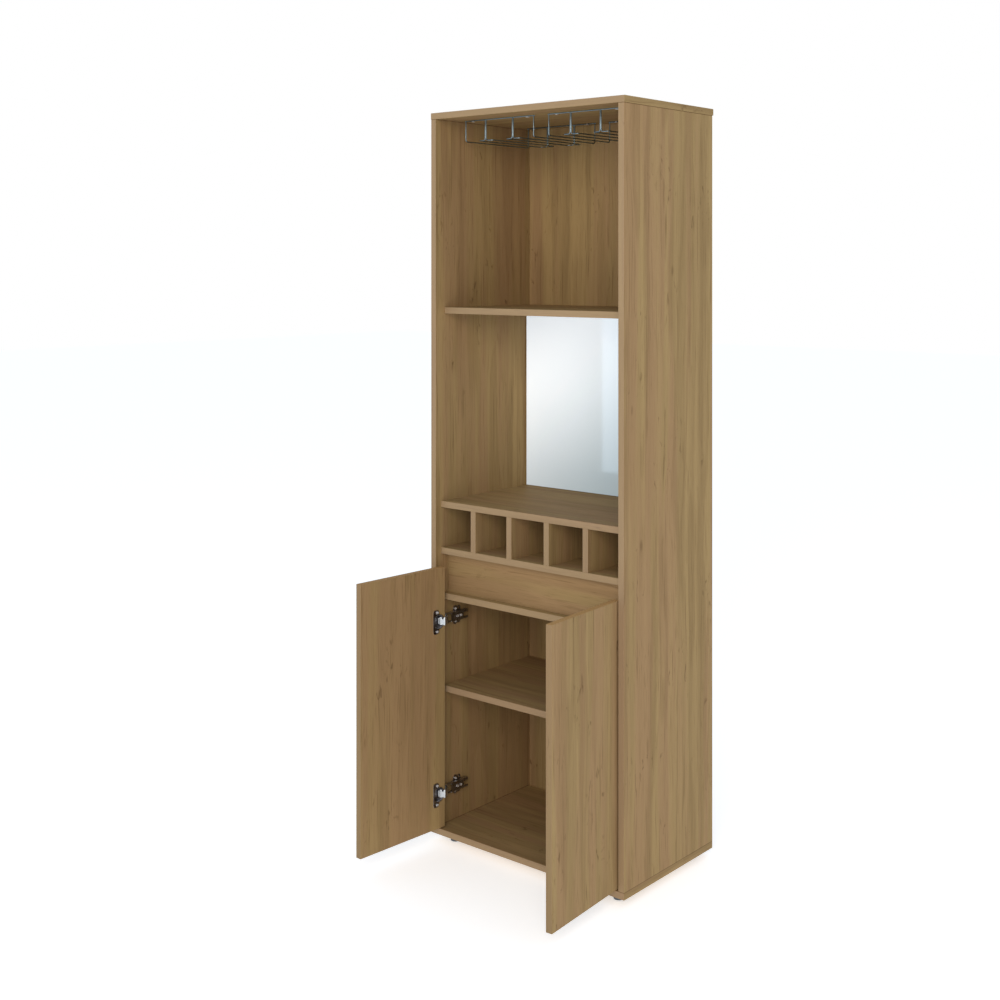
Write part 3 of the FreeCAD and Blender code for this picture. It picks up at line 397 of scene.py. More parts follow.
def tube(path, radius, sides=14):
    # a round section carried along a path and turned as little as it can be; each end closes in a low dome
    heading = np.gradient(path, axis=0)
    heading /= np.linalg.norm(heading, axis=1, keepdims=True)
    side, across = np.cross(heading[0], (0.31, 0.57, 0.76)), []
    for way in heading:
        side = side - way * (side @ way)
        side = side / np.linalg.norm(side)
        across.append(side)
    across = np.array(across)
    dome = np.radians([90, 65, 40, 15])[:, None]
    first = endDome * radius * heading[0] * np.sin(dome)
    last = endDome * radius * heading[-1] * np.sin(dome[::-1])
    size = radius * np.concatenate([np.cos(dome), np.ones((len(path), 1)), np.cos(dome[::-1])])
    longer = lambda a: np.concatenate([
        np.repeat(a[:1], len(dome), axis=0), a, np.repeat(a[-1:], len(dome), axis=0)])
    across, heading = longer(across), longer(heading)
    path = np.concatenate([path[0] - first, path, path[-1] + last])
    t = np.linspace(0, 2 * np.pi, sides, endpoint=False)[None, :, None]
    ring = np.cos(t) * across[:, None] + np.sin(t) * np.cross(heading, across)[:, None]
    return (path[:, None] + size[:, None] * ring).reshape(-1, 3), gridFaces(len(path), sides)


def strip(path, halfThick, above, below, sides=28):
    # a flat upright section carried along a path seen from above: x = a |cos t|^0.4, z = b |sin t|^0.25,
    # with their signs, where b differs above and below; it shrinks to a point at both ends, which closes them
    heading = np.gradient(path, axis=0)
    heading /= np.linalg.norm(heading, axis=1, keepdims=True)
    normal = np.stack([-heading[:, 1], heading[:, 0], 0 * heading[:, 0]], axis=1)
    ends = lambda a: np.concatenate([a[:1], a, a[-1:]])
    shut = np.concatenate([[0.0], np.ones(len(path)), [0.0]])[:, None, None]
    t = np.linspace(0, 2 * np.pi, sides, endpoint=False)
    thick = (np.sign(np.cos(t)) * np.abs(np.cos(t)) ** 0.4)[None, :, None]
    tall = (np.sign(np.sin(t)) * np.abs(np.sin(t)) ** 0.25)[None, :, None]
    reach = np.where(tall > 0, ends(above)[:, None, None], ends(below)[:, None, None])
    points = (ends(path)[:, None] + shut * halfThick * thick * ends(normal)[:, None]
              + shut * reach * tall * np.array([0.0, 0.0, 1.0]))
    return points.reshape(-1, 3), gridFaces(len(path) + 2, sides)


def softBlock(low, high, sides=32):
    # a block with rounded edges: a sphere whose sines and cosines are raised to 0.35, scaled to the box
    low, high = np.array(low, float), np.array(high, float)
    power = lambda a: np.sign(a) * np.abs(a) ** 0.35
    u = np.linspace(-np.pi / 2, np.pi / 2, 17)[:, None]
    t = np.linspace(0, 2 * np.pi, sides, endpoint=False)[None]
    ball = np.stack(np.broadcast_arrays(
        power(np.cos(u)) * power(np.cos(t)), power(np.cos(u)) * power(np.sin(t)), power(np.sin(u))), axis=-1)
    return ((low + high) / 2 + ball * (high - low) / 2).reshape(-1, 3), gridFaces(17, sides)


# Cross-head screws, in mm: the shank's radius and length, and the head's radius and height
screws = {
    "cup": (1.75, 11, 3.7, 1.8),
    "plate": (1.75, 11, 3.7, 1.8),
    "arm": (2.5, 9.5, 4.0, 1.4),
    "rack": (1.75, 13.5, 4.5, 1.8),
}
threadPitch = 1.3  # mm


def crossScrew(centre, axis, start, kind, turn):
    # from the middle of the head outwards: a low dome less a cross recess, a rim, then a shank whose radius
    # follows its thread, root + depth (1 + cos(2 pi h / pitch - t)) / 2, and a point
    radius, length, headRadius, headHeight = screws[kind]
    t = np.linspace(0, 2 * np.pi, 40, endpoint=False)[None]
    share = np.linspace(0, 1, 13)[:, None]
    r = headRadius * share
    along, across = np.abs(r * np.cos(t - turn)), np.abs(r * np.sin(t - turn))
    # each arm of the recess is 0.24 of the head's radius to each side and 0.62 long, with sloping sides
    slot = lambda a, b: (np.clip((0.24 * headRadius - a) / (0.1 * headRadius), 0, 1)
                         * np.clip((0.62 * headRadius - b) / (0.16 * headRadius), 0, 1))
    dome = headHeight * (0.5 + 0.5 * np.sqrt(1 - 0.9 * share ** 2))
    top = dome - 0.6 * headHeight * np.maximum(slot(along, across), slot(across, along))
    drop = np.linspace(0, 1, 46)[:, None]
    thread = 0.82 * radius + 0.18 * radius * (1 + np.cos(2 * np.pi * drop * length / threadPitch - t)) / 2
    shank = thread * np.clip((1 - drop) / 0.12, 0, 1)
    rim = np.array([[1.0, 0.45], [0.985, 0.12], [0.95, 0.0]])
    r = np.concatenate([r + 0 * t, headRadius * rim[:, :1] + 0 * t, shank])
    h = np.concatenate([top, headHeight * rim[:, 1:] + 0 * t, -length * drop + 0 * t])
    return aroundAxis(r, h, centre, axis, start)


def mirrored(surface):
    # the same surface on the other side of the cabinet's middle plane
    points, faces = surface
    return points * (-1, 1, 1), faces[:, ::-1]


def swung(surface):
    # the surface turned clockwise, seen from above, about the left door's axis by pastSquare degrees
    points, faces = surface
    angle = math.radians(hinge["pastSquare"])
    turn = np.array([
        [math.cos(angle), -math.sin(angle), 0], [math.sin(angle), math.cos(angle), 0], [0, 0, 1]])
    axis = np.array([*hinge["doorAxis"], 0])
    return (points - axis) @ turn + axis, faces


def piece(name, surfaces, material, body, slot, *nodes, crease=38):
    # the surfaces become one mesh: doubles are merged, so seams and poles close, and faces turn outwards
    starts = np.cumsum([0] + [len(points) for points, faces in surfaces])
    mesh = bpy.data.meshes.new(name)
    mesh.from_pydata(np.concatenate([points for points, faces in surfaces]) * mm, [],
                     np.concatenate([faces + start for (points, faces), start in zip(surfaces, starts)]))
    form = bmesh.new()
    form.from_mesh(mesh)
    bmesh.ops.remove_doubles(form, verts=form.verts, dist=1e-6)
    bmesh.ops.dissolve_degenerate(form, edges=form.edges, dist=1e-7)
    bmesh.ops.recalc_face_normals(form, faces=form.faces)
    form.to_mesh(mesh)
    form.free()
    mesh.shade_smooth()
    mesh.set_sharp_from_angle(angle=math.radians(crease))
    obj = bpy.data.objects.new(name, mesh)
    bpy.context.scene.collection.objects.link(obj)
    finishWith(obj, material)
    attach(obj, body)
    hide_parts(*nodes)


def bevelledCopy(node, name, material, body, width):
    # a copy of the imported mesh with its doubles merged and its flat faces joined, then its edges rounded
    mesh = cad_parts[node].data.copy()
    mesh.name = name
    form = bmesh.new()
    form.from_mesh(mesh)
    bmesh.ops.remove_doubles(form, verts=form.verts, dist=1e-6)
    bmesh.ops.dissolve_limit(form, angle_limit=math.radians(1), verts=form.verts, edges=form.edges)
    form.to_mesh(mesh)
    form.free()
    obj = bpy.data.objects.new(name, mesh)
    bpy.context.scene.collection.objects.link(obj)
    rounding = obj.modifiers.new("rounded edges", "BEVEL")
    rounding.width = width * mm
    rounding.segments = 3
    rounding.limit_method = "ANGLE"
    rounding.angle_limit = math.radians(40)
    finishWith(obj, material)
    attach(obj, body)
    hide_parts(node)


def platedMetal(name, colour, stain, roughness, grain, relief):
    # plated metal: one colour with faint stains 9 mm across, and a skin whose roughness and height vary with
    # its grain; grain and relief are in mm
    material, tree, shader = newMaterial(name)
    where = addNode(tree, "ShaderNodeTexCoord")
    clouds = addNode(tree, "ShaderNodeTexNoise", values={
        "Scale": 1000 / 9.0, "Detail": 3.0, "Roughness": 0.55}, links={"Vector": where.outputs["Object"]})
    skin = addNode(tree, "ShaderNodeTexNoise", values={
        "Scale": 1000 / grain, "Detail": 2.0, "Roughness": 0.6}, links={"Vector": where.outputs["Object"]})
    mixed = addNode(tree, "ShaderNodeMix", {"data_type": "RGBA"}, {6: rgb(colour), 7: rgb(stain)}, {
        "Factor": addNode(tree, "ShaderNodeMapRange", {}, {"From Min": 0.42, "From Max": 0.7}, {
            "Value": clouds.outputs[0]}).outputs[0]})
    rough = addNode(tree, "ShaderNodeMapRange", {}, {
        "From Min": 0.3, "From Max": 0.7, "To Min": roughness - 0.06, "To Max": roughness + 0.08}, {
        "Value": skin.outputs[0]})
    bump = addNode(tree, "ShaderNodeBump", values={"Strength": 0.3, "Distance": relief * mm}, links={
        "Height": skin.outputs[0]})
    tree.links.new(mixed.outputs[2], shader.inputs["Base Color"])
    tree.links.new(rough.outputs[0], shader.inputs["Roughness"])
    tree.links.new(bump.outputs[0], shader.inputs["Normal"])
    shader.inputs["Metallic"].default_value = 1.0
    return material


# Pressed steel under nickel: grey with a warm cast, so it looks dark among the wood, with crisp highlights
nickel = platedMetal("nickel plated pressed steel", "#A6A3A6", "#949194", 0.28, 0.6, 0.015)
# Bright nickel on the links, the palest metal here
brightNickel = platedMetal("bright nickel", "#CDD1D4", "#BAC0C5", 0.35, 1.2, 0.02)
# Blue-white zinc on screws, pins and nails
zinc = platedMetal("zinc plated steel", "#F2F1F1", "#DFE2E6", 0.46, 0.6, 0.02)
# Cam discs are cast, so their skin is coarser
castZinc = platedMetal("zinc die casting", "#A9ABAD", "#8E9092", 0.42, 0.5, 0.06)
# Chromed wire: satin, so it shows the board above and the room as a soft dark and a soft pale line
chrome = platedMetal("chromed wire", "#84959D", "#73838B", 0.36, 1.5, 0.01)


def mouldedPlastic(name, colour, roughness, grit):
    # moulded plastic: an even colour and a fine pitted skin, whose pits are grit mm across
    material, tree, shader = newMaterial(name)
    where = addNode(tree, "ShaderNodeTexCoord")
    sparked = addNode(tree, "ShaderNodeTexNoise", values={"Scale": 1000 / grit, "Detail": 2.0}, links={
        "Vector": where.outputs["Object"]})
    shade = addNode(tree, "ShaderNodeMix", {"data_type": "RGBA"}, {
        6: rgb(colour), 7: [c * 0.8 for c in rgb(colour)[:3]] + [1.0]}, {"Factor": sparked.outputs[0]})
    bump = addNode(tree, "ShaderNodeBump", values={"Strength": 0.35, "Distance": 0.05 * mm}, links={
        "Height": sparked.outputs[0]})
    tree.links.new(shade.outputs[2], shader.inputs["Base Color"])
    tree.links.new(bump.outputs[0], shader.inputs["Normal"])
    shader.inputs["Roughness"].default_value = roughness
    return material


glidePlastic = mouldedPlastic("moulded polypropylene", "#4F5A66", 0.48, 0.7)
foam = mouldedPlastic("polyethylene foam tape", "#DADAD5", 0.9, 0.9)


def plainBeech():
    # beech of the dowels: pale pinkish wood with small dark flecks
    material, tree, shader = newMaterial("plain beech")
    where = addNode(tree, "ShaderNodeTexCoord")
    flecks = addNode(tree, "ShaderNodeTexNoise", values={"Scale": 1000 / 1.5, "Detail": 3.0}, links={
        "Vector": where.outputs["Object"]})
    shade = addNode(tree, "ShaderNodeMix", {"data_type": "RGBA"}, {6: rgb("#C9A77C"), 7: rgb("#A88258")}, {
        "Factor": flecks.outputs[0]})
    tree.links.new(shade.outputs[2], shader.inputs["Base Color"])
    shader.inputs["Roughness"].default_value = 0.7
    return material


beech = plainBeech()
# simple fittings keep their packed form, with edges rounded by the width given in mm
for node, material, slot, width in (
        ("dowels", beech, "beech_dowel", 0.8), ("cam_bolts", zinc, "zinc_steel", 0.3),
        ("back_panel_nails", zinc, "zinc_steel", 0.35), ("shelf_pins", zinc, "zinc_steel", 0.4),
        ("mirror_tape_strips", foam, "foam_tape", 0.2)):
    bevelledCopy(node, node + "_rounded", material, "root", width)
print("metals and plastics finished")

# Concealed hinges, four: a bowl with a stamped flange on the door, an arm on its plate on the side panel, and
# a bent link between the two. All is made for the left side and mirrored for the right. What sits on the door
# is made for a door open at a right angle, and then turned a little further about the door's axis.
hinge = {
    "doorAxis": (-274.0, -52.4), "pastSquare": 4.0,  # degrees
    "axes": {"lower": 128.0, "upper": 566.0},  # heights of the four hinges
    "doorFace": -264.5, "cupY": -67.4, "cupRadius": 17.5, "cupDepth": 11.5, "wall": 1.0,
    "flange": 1.2, "ring": 19.0, "plateNear": -0.5, "plateHalfTall": 30.5, "plateCorner": 6.5,
    "stopLow": (-276.0, -58.41, -6.0), "stopHigh": (-269.0, -49.9, 6.0),
    "cupScrewY": -73.4, "cupScrewPitch": 48.0,
    "pin": (-278.0, -27.9), "linkAngle": -78.8,  # degrees anticlockwise, seen from above
    "linkBends": ((0.0, 0.0), (9.6, 11.8), (29.6, 17.0), (33.96, 0.0)),  # from the pin on, before the turn
    "linkCurve": 2.6,  # mm before and after each bend where its curve begins and ends
    "linkThick": 1.6, "linkTall": 20.0, "topNotch": 5.0, "sideNotch": 1.2, "tipTall": 15.0,
    "notchAt": 0.80, "notchLong": 0.042, "tipFrom": 0.94, "tipSlope": 0.04,  # shares of the link's length
    "linkEyes": ((3.0, 10.0), (2.3, 7.5)),  # radius and half height of the rolled end at the pin, at the tip
    "armTall": 23.4, "armWall": 1.3, "armCorner": 2.0, "armFoot": -281.6, "armWeb": -269.5,
    "armWebFront": -13.9, "armRear": 48.1, "armNose": 4.6, "tailNotch": 20.0, "notchHalf": 5.5,
    "pinRadius": 1.6, "wallX": -284.0, "plateScrewY": 13.1, "plateScrewPitch": 32.0, "wing": 2.0,
    "armScrewsY": (8.1, 21.6),
}


def flangeReach(sides):
    # how far the flange reaches from the middle of the cup in each direction: the ring, or the rounded plate
    t = np.linspace(0, 2 * np.pi, sides, endpoint=False)
    out = np.linspace(0, 40, 801)[:, None]  # tried reaches, in steps of 0.05 mm
    a, b = out * np.cos(t), out * np.sin(t)
    corner = hinge["plateCorner"]
    middle, halfWide = (hinge["plateNear"] + hinge["ring"]) / 2, (hinge["ring"] - hinge["plateNear"]) / 2
    x, y = np.abs(a - middle) - halfWide + corner, np.abs(b) - hinge["plateHalfTall"] + corner
    outside = np.hypot(np.maximum(x, 0), np.maximum(y, 0)) + np.minimum(np.maximum(x, y), 0) - corner
    return np.maximum(hinge["ring"], np.max(np.where(outside < 0, out, 0), axis=0))


def hingeCup(height):
    # from the underside of the bowl out round the flange and back into the bowl: each row has its share of
    # the flange's reach, a radius to add, and a height above the door's face
    reach = flangeReach(180)[None]
    radius, wall, depth, top = hinge["cupRadius"], hinge["wall"], hinge["cupDepth"], hinge["flange"]
    rows = np.array([
        (0, 0, -depth), (0, radius - 2.2, -depth), (0, radius - 0.7, -depth + 0.4), (0, radius, -depth + 1.6),
        (0, radius, -0.1), (1, -0.25, 0), (1, 0, 0.2), (1, 0, 0.75), (1, -0.15, 1.05), (1, -0.5, top),
        (1, -1.2, top), (0, radius + 0.7, top), (0, radius + 0.1, top - 0.1), (0, radius - 0.5, top - 0.35),
        (0, radius - wall, top - 1.0), (0, radius - wall, -depth + wall + 1.6),
        (0, radius - wall - 0.7, -depth + wall + 0.4), (0, radius - wall - 2.2, -depth + wall),
        (0, 0, -depth + wall)])
    r = rows[:, :1] * reach + rows[:, 1:2]
    bowl = aroundAxis(r, rows[:, 2:], (hinge["doorFace"], hinge["cupY"], height), (1, 0, 0), (0, -1, 0))
    low, high = np.array(hinge["stopLow"]), np.array(hinge["stopHigh"])
    rise = np.array([0, 0, height])
    return [swung(bowl), swung(softBlock(low + rise, high + rise))]


def hingeLink(height):
    # the link's path turns about its bends in short curves; its edges dip in a notch before the cup, by
    # notch exp(-((s - notchAt) / notchLong)^4) at the share s of its length, and its tip is less tall
    angle = math.radians(hinge["linkAngle"])
    turn = np.array([[math.cos(angle), math.sin(angle)], [-math.sin(angle), math.cos(angle)]])
    bends = np.array(hinge["linkBends"]) @ turn + np.array(hinge["pin"])
    share = np.linspace(0, 1, 25)[:, None]
    path = [bends[:1]]
    for before, corner, after in zip(bends, bends[1:], bends[2:]):
        into = corner + hinge["linkCurve"] * (before - corner) / np.linalg.norm(before - corner)
        out = corner + hinge["linkCurve"] * (after - corner) / np.linalg.norm(after - corner)
        # a curve through the bend: (1 - s)^2 into + 2 s (1 - s) corner + s^2 out
        path.append((1 - share) ** 2 * into + 2 * share * (1 - share) * corner + share ** 2 * out)
    path.append(bends[-1:])
    path = np.concatenate(path)
    steps = np.concatenate([[0.0], np.cumsum(np.linalg.norm(np.diff(path, axis=0), axis=1))])
    fine = np.linspace(0, steps[-1], 90)
    path = np.stack([
        np.interp(fine, steps, path[:, 0]), np.interp(fine, steps, path[:, 1]), height + 0 * fine], axis=1)
    s = fine / fine[-1]
    half, tip = hinge["linkTall"] / 2, hinge["tipTall"] / 2
    dip = np.exp(-((s - hinge["notchAt"]) / hinge["notchLong"]) ** 4)
    lower = (half - tip) * np.clip((s - hinge["tipFrom"]) / hinge["tipSlope"], 0, 1)
    body = strip(path, hinge["linkThick"] / 2,
                 half - hinge["topNotch"] * dip - lower, half - hinge["sideNotch"] * dip - lower)
    eyes = []
    for (x, y), (radius, half) in zip((bends[0], bends[-1]), hinge["linkEyes"]):
        profile = [(0, -half), (radius - 0.5, -half), (radius, -half + 0.5), (radius, half - 0.5),
                   (radius - 0.5, half), (0, half)]
        eyes.append(turned(profile, (x, y, height), (0, 0, 1), (1, 0, 0)))
    return [body] + eyes


def hingeArm(height):
    # a channel: its section goes round the outside and back round the inside, and each of its points starts
    # and ends at its own depth, so that the cheeks run on to the pin in round noses and the tail has a notch
    half, wall, notchHalf = hinge["armTall"] / 2, hinge["armWall"], hinge["notchHalf"]
    foot, web, corner = hinge["armFoot"], hinge["armWeb"], hinge["armCorner"]
    turn = np.linspace(0, np.pi / 2, 7)
    step = 0.03  # mm between the last point beside the notch and the first one in it

    def around(inset):
        # the lower half of the section, along the cheek, round the corner and up the web; then the upper half
        radius = corner - inset
        cheek = np.stack([
            np.linspace(foot, web - corner, 12, endpoint=False), np.full(12, -half + inset)], axis=1)
        bend = np.stack([
            web - corner + radius * np.sin(turn), -half + corner - radius * np.cos(turn)], axis=1)
        rise = np.concatenate([
            np.linspace(-half + corner, -notchHalf, 5)[1:], np.linspace(-notchHalf + step, 0, 12)])
        lower = np.concatenate([cheek, bend, np.stack([np.full(len(rise), web - inset), rise], axis=1)])
        return np.concatenate([lower, lower[-2::-1] * (1, -1)])

    outer, inner = around(0.0), around(wall)
    section = np.concatenate([outer, inner[::-1]])
    pinX, pinY = hinge["pin"]
    nose = hinge["armNose"]
    x = section[:, 0]
    nosed = pinY - np.sqrt(np.maximum(nose ** 2 - (x - pinX) ** 2, 0))
    slope = np.interp(x, [pinX + nose, web - wall, web], [pinY, hinge["armWebFront"], hinge["armWebFront"]])
    start = np.where(x < pinX + nose, nosed, slope)
    # the notch is a slot with a round end: rear - depth + n - sqrt(n^2 - z^2)
    inNotch = (x > web - corner) & (np.abs(section[:, 1]) < notchHalf - 0.01)
    bottom = hinge["tailNotch"] - notchHalf + np.sqrt(np.maximum(notchHalf ** 2 - section[:, 1] ** 2, 0))
    end = hinge["armRear"] - np.where(inNotch, bottom, 0)
    share = np.linspace(0, 1, 24)[:, None]
    y = start + (end - start) * share
    z = section[:, 1] + height
    points = np.stack([np.broadcast_to(x, y.shape), y, np.broadcast_to(z, y.shape)], axis=-1)
    count = len(section)
    faces = gridFaces(len(share), count)
    # the two ends close between the outer and the inner run of the section
    pair = np.arange(len(outer) - 1)
    rim = np.stack([pair, pair + 1, count - 2 - pair, count - 1 - pair], axis=1)
    return [(points.reshape(-1, 3), np.concatenate([faces, rim, rim + count * (len(share) - 1)]))]


def hingePin(height):
    # a riveted pin, its ends domed over the cheeks
    half, radius = hinge["armTall"] / 2, hinge["pinRadius"]
    profile = [(0, -half - 0.45), (1.2, -half - 0.35), (2.1, -half - 0.02), (radius, -half), (radius, half),
               (2.1, half + 0.02), (1.2, half + 0.35), (0, half + 0.45)]
    return [turned(profile, (*hinge["pin"], height), (0, 0, 1), (1, 0, 0), 20)]


doorScrews, plateScrews, armScrews, pins = [], [], [], []
for level, height in hinge["axes"].items():
    cup, link, arm = hingeCup(height), hingeLink(height), hingeArm(height)
    for side, flip in (("left", lambda a: a), ("right", mirrored)):
        place = f"{side}_{level}"
        piece(place + "_hinge_cup_pressed", [flip(a) for a in cup], nickel, side + "_door", "hinge_steel",
              place + "_hinge_cup")
        piece(place + "_hinge_link_bent", [flip(a) for a in link], brightNickel, place + "_link",
              "nickel_link", place + "_hinge_link")
        piece(place + "_hinge_arm_folded", [flip(a) for a in arm], nickel, "root", "hinge_steel",
              place + "_hinge_arm")
        bevelledCopy(place + "_mounting_plate", place + "_mounting_plate_pressed", nickel, "root",
                     0.5)
    # each head is turned by its own angle, as a driver leaves it
    for sign in (-1, 1):
        at = (hinge["doorFace"] + hinge["flange"], hinge["cupScrewY"],
              height + sign * hinge["cupScrewPitch"] / 2)
        doorScrews.append(swung(crossScrew(at, (1, 0, 0), (0, 0, 1), "cup", 0.4 + sign + height)))
        at = (hinge["wallX"] + hinge["wing"], hinge["plateScrewY"],
              height + sign * hinge["plateScrewPitch"] / 2)
        plateScrews.append(crossScrew(at, (1, 0, 0), (0, 0, 1), "plate", 0.9 * sign + height))
    for y in hinge["armScrewsY"]:
        armScrews.append(crossScrew((hinge["armWeb"], y, height), (1, 0, 0), (0, 0, 1), "arm", 0.3 + y))
    pins += hingePin(height)
piece("left_cup_screws_threaded", doorScrews, zinc, "left_door", "zinc_steel", "left_cup_screws")
piece("right_cup_screws_threaded", [mirrored(a) for a in doorScrews], zinc, "right_door", "zinc_steel",
      "right_cup_screws")
for name, surfaces in (
        ("mounting_plate_screws", plateScrews), ("arm_screws", armScrews), ("hinge_pins", pins)):
    piece(name + "_turned", surfaces + [mirrored(a) for a in surfaces], zinc, "root", "zinc_steel", name)
print("hinges made")

# Stemware racks, two alike: bent wire hangers welded to two bars, with a bead of weld at each crossing
rack = {
    "lefts": (-254.0, 18.0), "front": 23.1, "barHeight": 1840.5, "length": 255.0, "drop": 52.5,
    "rails": 6, "pitch": 44.8, "pairGap": 1.3, "overhang": 4.0, "wire": 1.5, "bend": 6.0,
    "weldRadius": 2.1, "weldHalfTall": 1.5, "weldDrop": 1.1, "screwInset": 3.35,
}


def rackSurfaces(left):
    # each rail goes down from the front bar, along, and up to the rear bar, and the inner ones jog sideways
    wire, length, drop, pitch = rack["wire"], rack["length"], rack["drop"], rack["pitch"]
    width = pitch * (rack["rails"] - 1)
    origin = np.array([left, rack["front"], rack["barHeight"]])
    surfaces = []
    for depth in (0.0, length):
        reach = rack["overhang"] - endDome * wire
        x = np.linspace(-reach, width + reach, 40)
        surfaces.append(tube(origin + np.stack([x, depth + 0 * x, 0 * x], axis=1), wire))
    for number in range(rack["rails"]):
        rail = hanger = number * pitch
        if 0 < number < rack["rails"] - 1:
            hanger = rail + (1 if number % 2 else -1) * (pitch / 2 - rack["pairGap"])
        corners = [(hanger, 0, 0), (hanger, 0, -drop), (hanger, length, -drop), (hanger, length, 0)]
        if hanger != rail:
            corners[2:2] = [(rail, 0, -drop), (rail, length, -drop)]
        surfaces.append(tube(origin + bentPath(corners, rack["bend"]), wire))
        for depth in (0.0, length):
            bead = np.linspace(0, np.pi, 9)[:, None]
            t = np.linspace(0, 2 * np.pi, 16, endpoint=False)[None]
            # a bead of weld: an ellipsoid whose radius swells and falls three times round
            lumpy = (1 + 0.1 * np.cos(3 * t + number)) * np.sin(bead)
            surfaces.append(aroundAxis(
                rack["weldRadius"] * lumpy, rack["weldHalfTall"] * np.cos(bead),
                origin + (hanger, depth, -rack["weldDrop"]), (0, 0, 1), (1, 0, 0)))
    return surfaces


for side, left in zip(("left", "right"), rack["lefts"]):
    piece(f"{side}_stemware_rack_wire", rackSurfaces(left), chrome, "root", "rack_wire",
          f"{side}_stemware_rack", crease=60)
rackScrews = []
for left in rack["lefts"]:
    for share in (0.5, rack["rails"] - 1.5):
        for y in (rack["front"] + rack["screwInset"], rack["front"] + rack["length"] - rack["screwInset"]):
            at = (left + rack["pitch"] * share, y, rack["barHeight"] - rack["wire"])
            rackScrews.append(crossScrew(at, (0, 0, -1), (1, 0, 0), "rack", 0.7 * share + y))
piece("rack_screws_threaded", rackScrews, zinc, "root", "zinc_steel", "rack_screws")
print("racks made")

# Round glides, four: a moulded body with a rounded foot and a ribbed waist, on a stem in the bottom panel
glide = {
    "x": 255.0, "y": {"front": -16.4, "rear": 278.6}, "radius": 12.0, "waist": 10.5, "base": 6.0,
    "tall": 22.0, "stem": 4.0, "stemTop": 34.0, "ribs": 24,
}


def glideSurface(x, y):
    # each row has its radius r, its height and how deep the ribs are there, from 0 to 1; the radius swells
    # and falls with the ribs, r (1 - 0.02 deep (1 + cos(ribs t)))
    radius, waist, base, tall = glide["radius"], glide["waist"], glide["base"], glide["tall"]
    stem, stemTop = glide["stem"], glide["stemTop"]
    rows = np.array([
        (0, 0, 0), (radius - 3, 0, 0), (radius - 1.1, 0, 0), (radius - 0.4, 0.3, 0), (radius, 1.1, 0),
        (radius, base - 0.7, 0), (radius - 0.3, base - 0.2, 0), (radius - 0.9, base, 0),
        (waist, base + 0.6, 0.4), (waist, base + 2, 1), (waist, tall - 2, 1), (waist, tall - 0.6, 0.3),
        (waist - 0.5, tall, 0), (stem, tall, 0), (stem, stemTop - 1, 0), (stem - 1, stemTop, 0),
        (0, stemTop, 0)])
    t = np.linspace(0, 2 * np.pi, 96, endpoint=False)[None]
    r = rows[:, :1] * (1 - 0.02 * rows[:, 2:] * (1 + np.cos(glide["ribs"] * t)))
    return aroundAxis(r, rows[:, 1:2], (x, y, 0), (0, 0, 1), (1, 0, 0))


for where, y in glide["y"].items():
    for side, sign in (("left", -1), ("right", 1)):
        piece(f"{where}_{side}_foot_moulded", [glideSurface(sign * glide["x"], y)], glidePlastic, "root",
              "glide_plastic", f"{where}_{side}_foot")

# Cam locks, eight: cast discs in the undersides of the fixed boards, each with a cross recess for its driver
cam = {
    "x": 260.0, "y": 123.1, "undersides": (1346.0, 851.0, 732.5, 615.0), "radius": 7.5, "deep": 12.5,
    "recess": 2.6, "armHalf": 1.15, "armSlope": 0.35, "armLong": 4.9, "armEnd": 0.6,
}


def camSurface(x, underside, turn):
    # the face has a cross-shaped pit: each arm is as deep as the recess within its half width and its length,
    # and its sides and ends slope
    radius = cam["radius"]
    t = np.linspace(0, 2 * np.pi, 96, endpoint=False)[None]
    out = radius * np.linspace(0, 1, 25)[:-1, None]
    a, b = np.abs(out * np.cos(t - turn)), np.abs(out * np.sin(t - turn))
    arm = lambda p, q: (np.clip((cam["armHalf"] - p) / cam["armSlope"], 0, 1)
                        * np.clip((cam["armLong"] - q) / cam["armEnd"], 0, 1))
    face = -cam["recess"] * np.maximum(arm(a, b), arm(b, a))
    rows = np.array([(radius - 0.5, 0), (radius - 0.12, -0.12), (radius, -0.5), (radius, 0.6 - cam["deep"]),
                     (radius - 0.6, -cam["deep"]), (0, -cam["deep"])])
    r = np.concatenate([out + 0 * t, rows[:, :1] + 0 * t])
    h = np.concatenate([face, rows[:, 1:] + 0 * t])
    return aroundAxis(r, h, (x, cam["y"], underside), (0, 0, -1), (1, 0, 0))


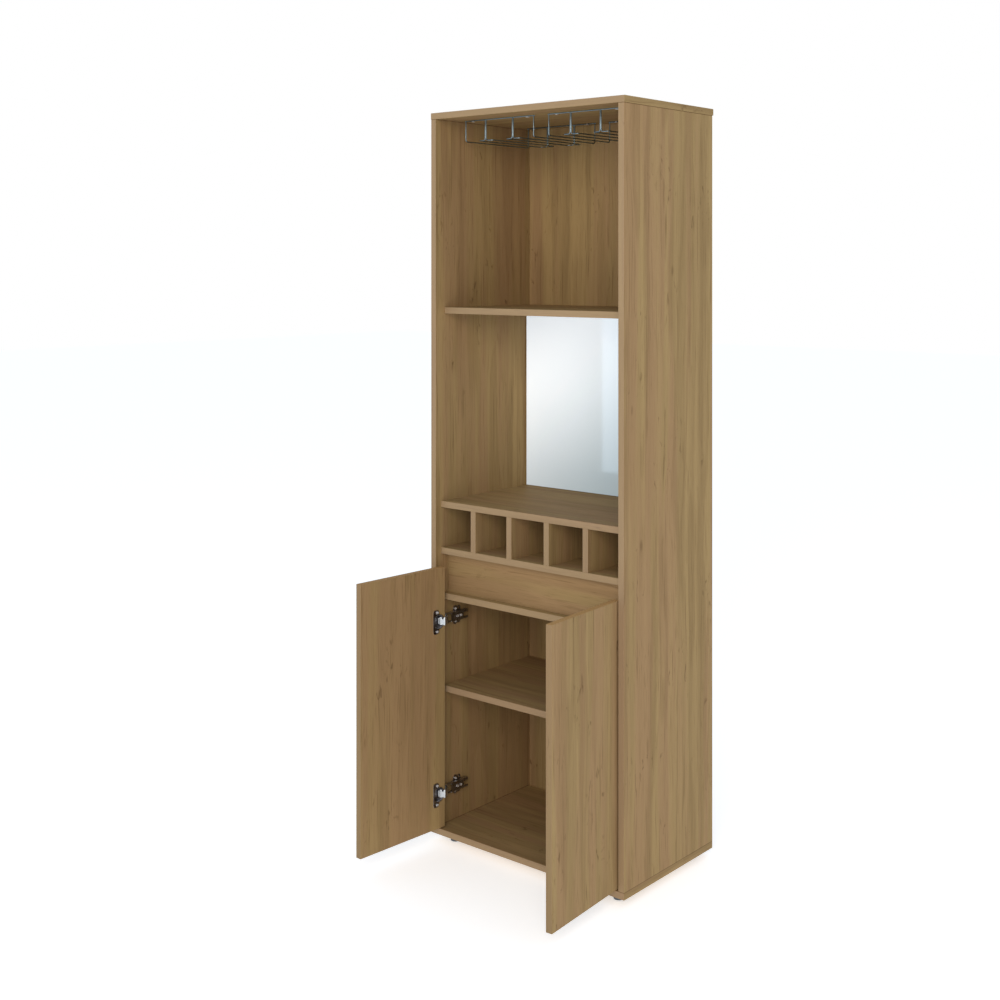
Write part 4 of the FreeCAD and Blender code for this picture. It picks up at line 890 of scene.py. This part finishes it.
cams = [camSurface(sign * cam["x"], z, 0.3 * z + sign) for z in cam["undersides"] for sign in (-1, 1)]
piece("cam_locks_cast", cams, castZinc, "root", "zinc_casting", "cam_locks")
print("glides and fittings made")

# Silvered float glass, 3 mm: its pale, slightly blue colour and its glow are a painted reflection of the pale
# room, with a painted shade that darkens it towards the counter and the right side; only a faint real image
# of what stands beside it.
glass = {
    # the base colour is a painted reflection of the pale room, running from bright to dim as a painted shade
    "bright": "#F3F8FB",
    "dim": "#BCC8CE",
    "paintedReflectionBright": "#AEB8C2",  # painted reflection: a glow standing in for what the silver gives back of the bright room in front of it
    "paintedReflectionDim": "#62737C",
    "silver": 0.16,
    "roughness": 0.08,
    "middle": (0.0, 0.0, 1.106),
    "slope": (1.1, 0.0, -1.15),  # painted shade: darkening per metre to the right, and upwards
    "paintedShadeEnds": (-0.45, 0.3),  # where the painted shade's darkening reaches the pale end and the dark end
}

mirror, mirrorTree, mirrorShader = newMaterial("silvered float glass")
glassPlace = addNode(mirrorTree, "ShaderNodeTexCoord")
glassMoved = addNode(mirrorTree, "ShaderNodeVectorMath", {"operation": "SUBTRACT"}, {1: glass["middle"]},
                     {0: glassPlace.outputs["Object"]})
paintedShadeDrop = addNode(mirrorTree, "ShaderNodeVectorMath", {"operation": "DOT_PRODUCT"}, {1: glass["slope"]},
                    {0: glassMoved.outputs[0]})
paintedShadeFactor = addNode(mirrorTree, "ShaderNodeMapRange", {"interpolation_type": "SMOOTHSTEP"}, {
    "From Min": glass["paintedShadeEnds"][0], "From Max": glass["paintedShadeEnds"][1]}, {"Value": paintedShadeDrop.outputs["Value"]})
# the base colour and the glow both run from their bright to their dim colour: a painted shade over a painted
# reflection
for socket, bright, dim in (("Base Color", "bright", "dim"), ("Emission Color", "paintedReflectionBright", "paintedReflectionDim")):
    faded = addNode(mirrorTree, "ShaderNodeMix", {"data_type": "RGBA"}, {
        6: rgb(glass[bright]), 7: rgb(glass[dim])}, {"Factor": paintedShadeFactor.outputs[0]})
    mirrorTree.links.new(faded.outputs[2], mirrorShader.inputs[socket])
# the painted reflection glows at full strength, though the glass is no lamp
mirrorShader.inputs["Emission Strength"].default_value = 1.0
mirrorShader.inputs["Metallic"].default_value = glass["silver"]
mirrorShader.inputs["Roughness"].default_value = glass["roughness"]
bevelledCopy("mirror", "mirror_pane", mirror, "root", 0.7)
print("mirror made")
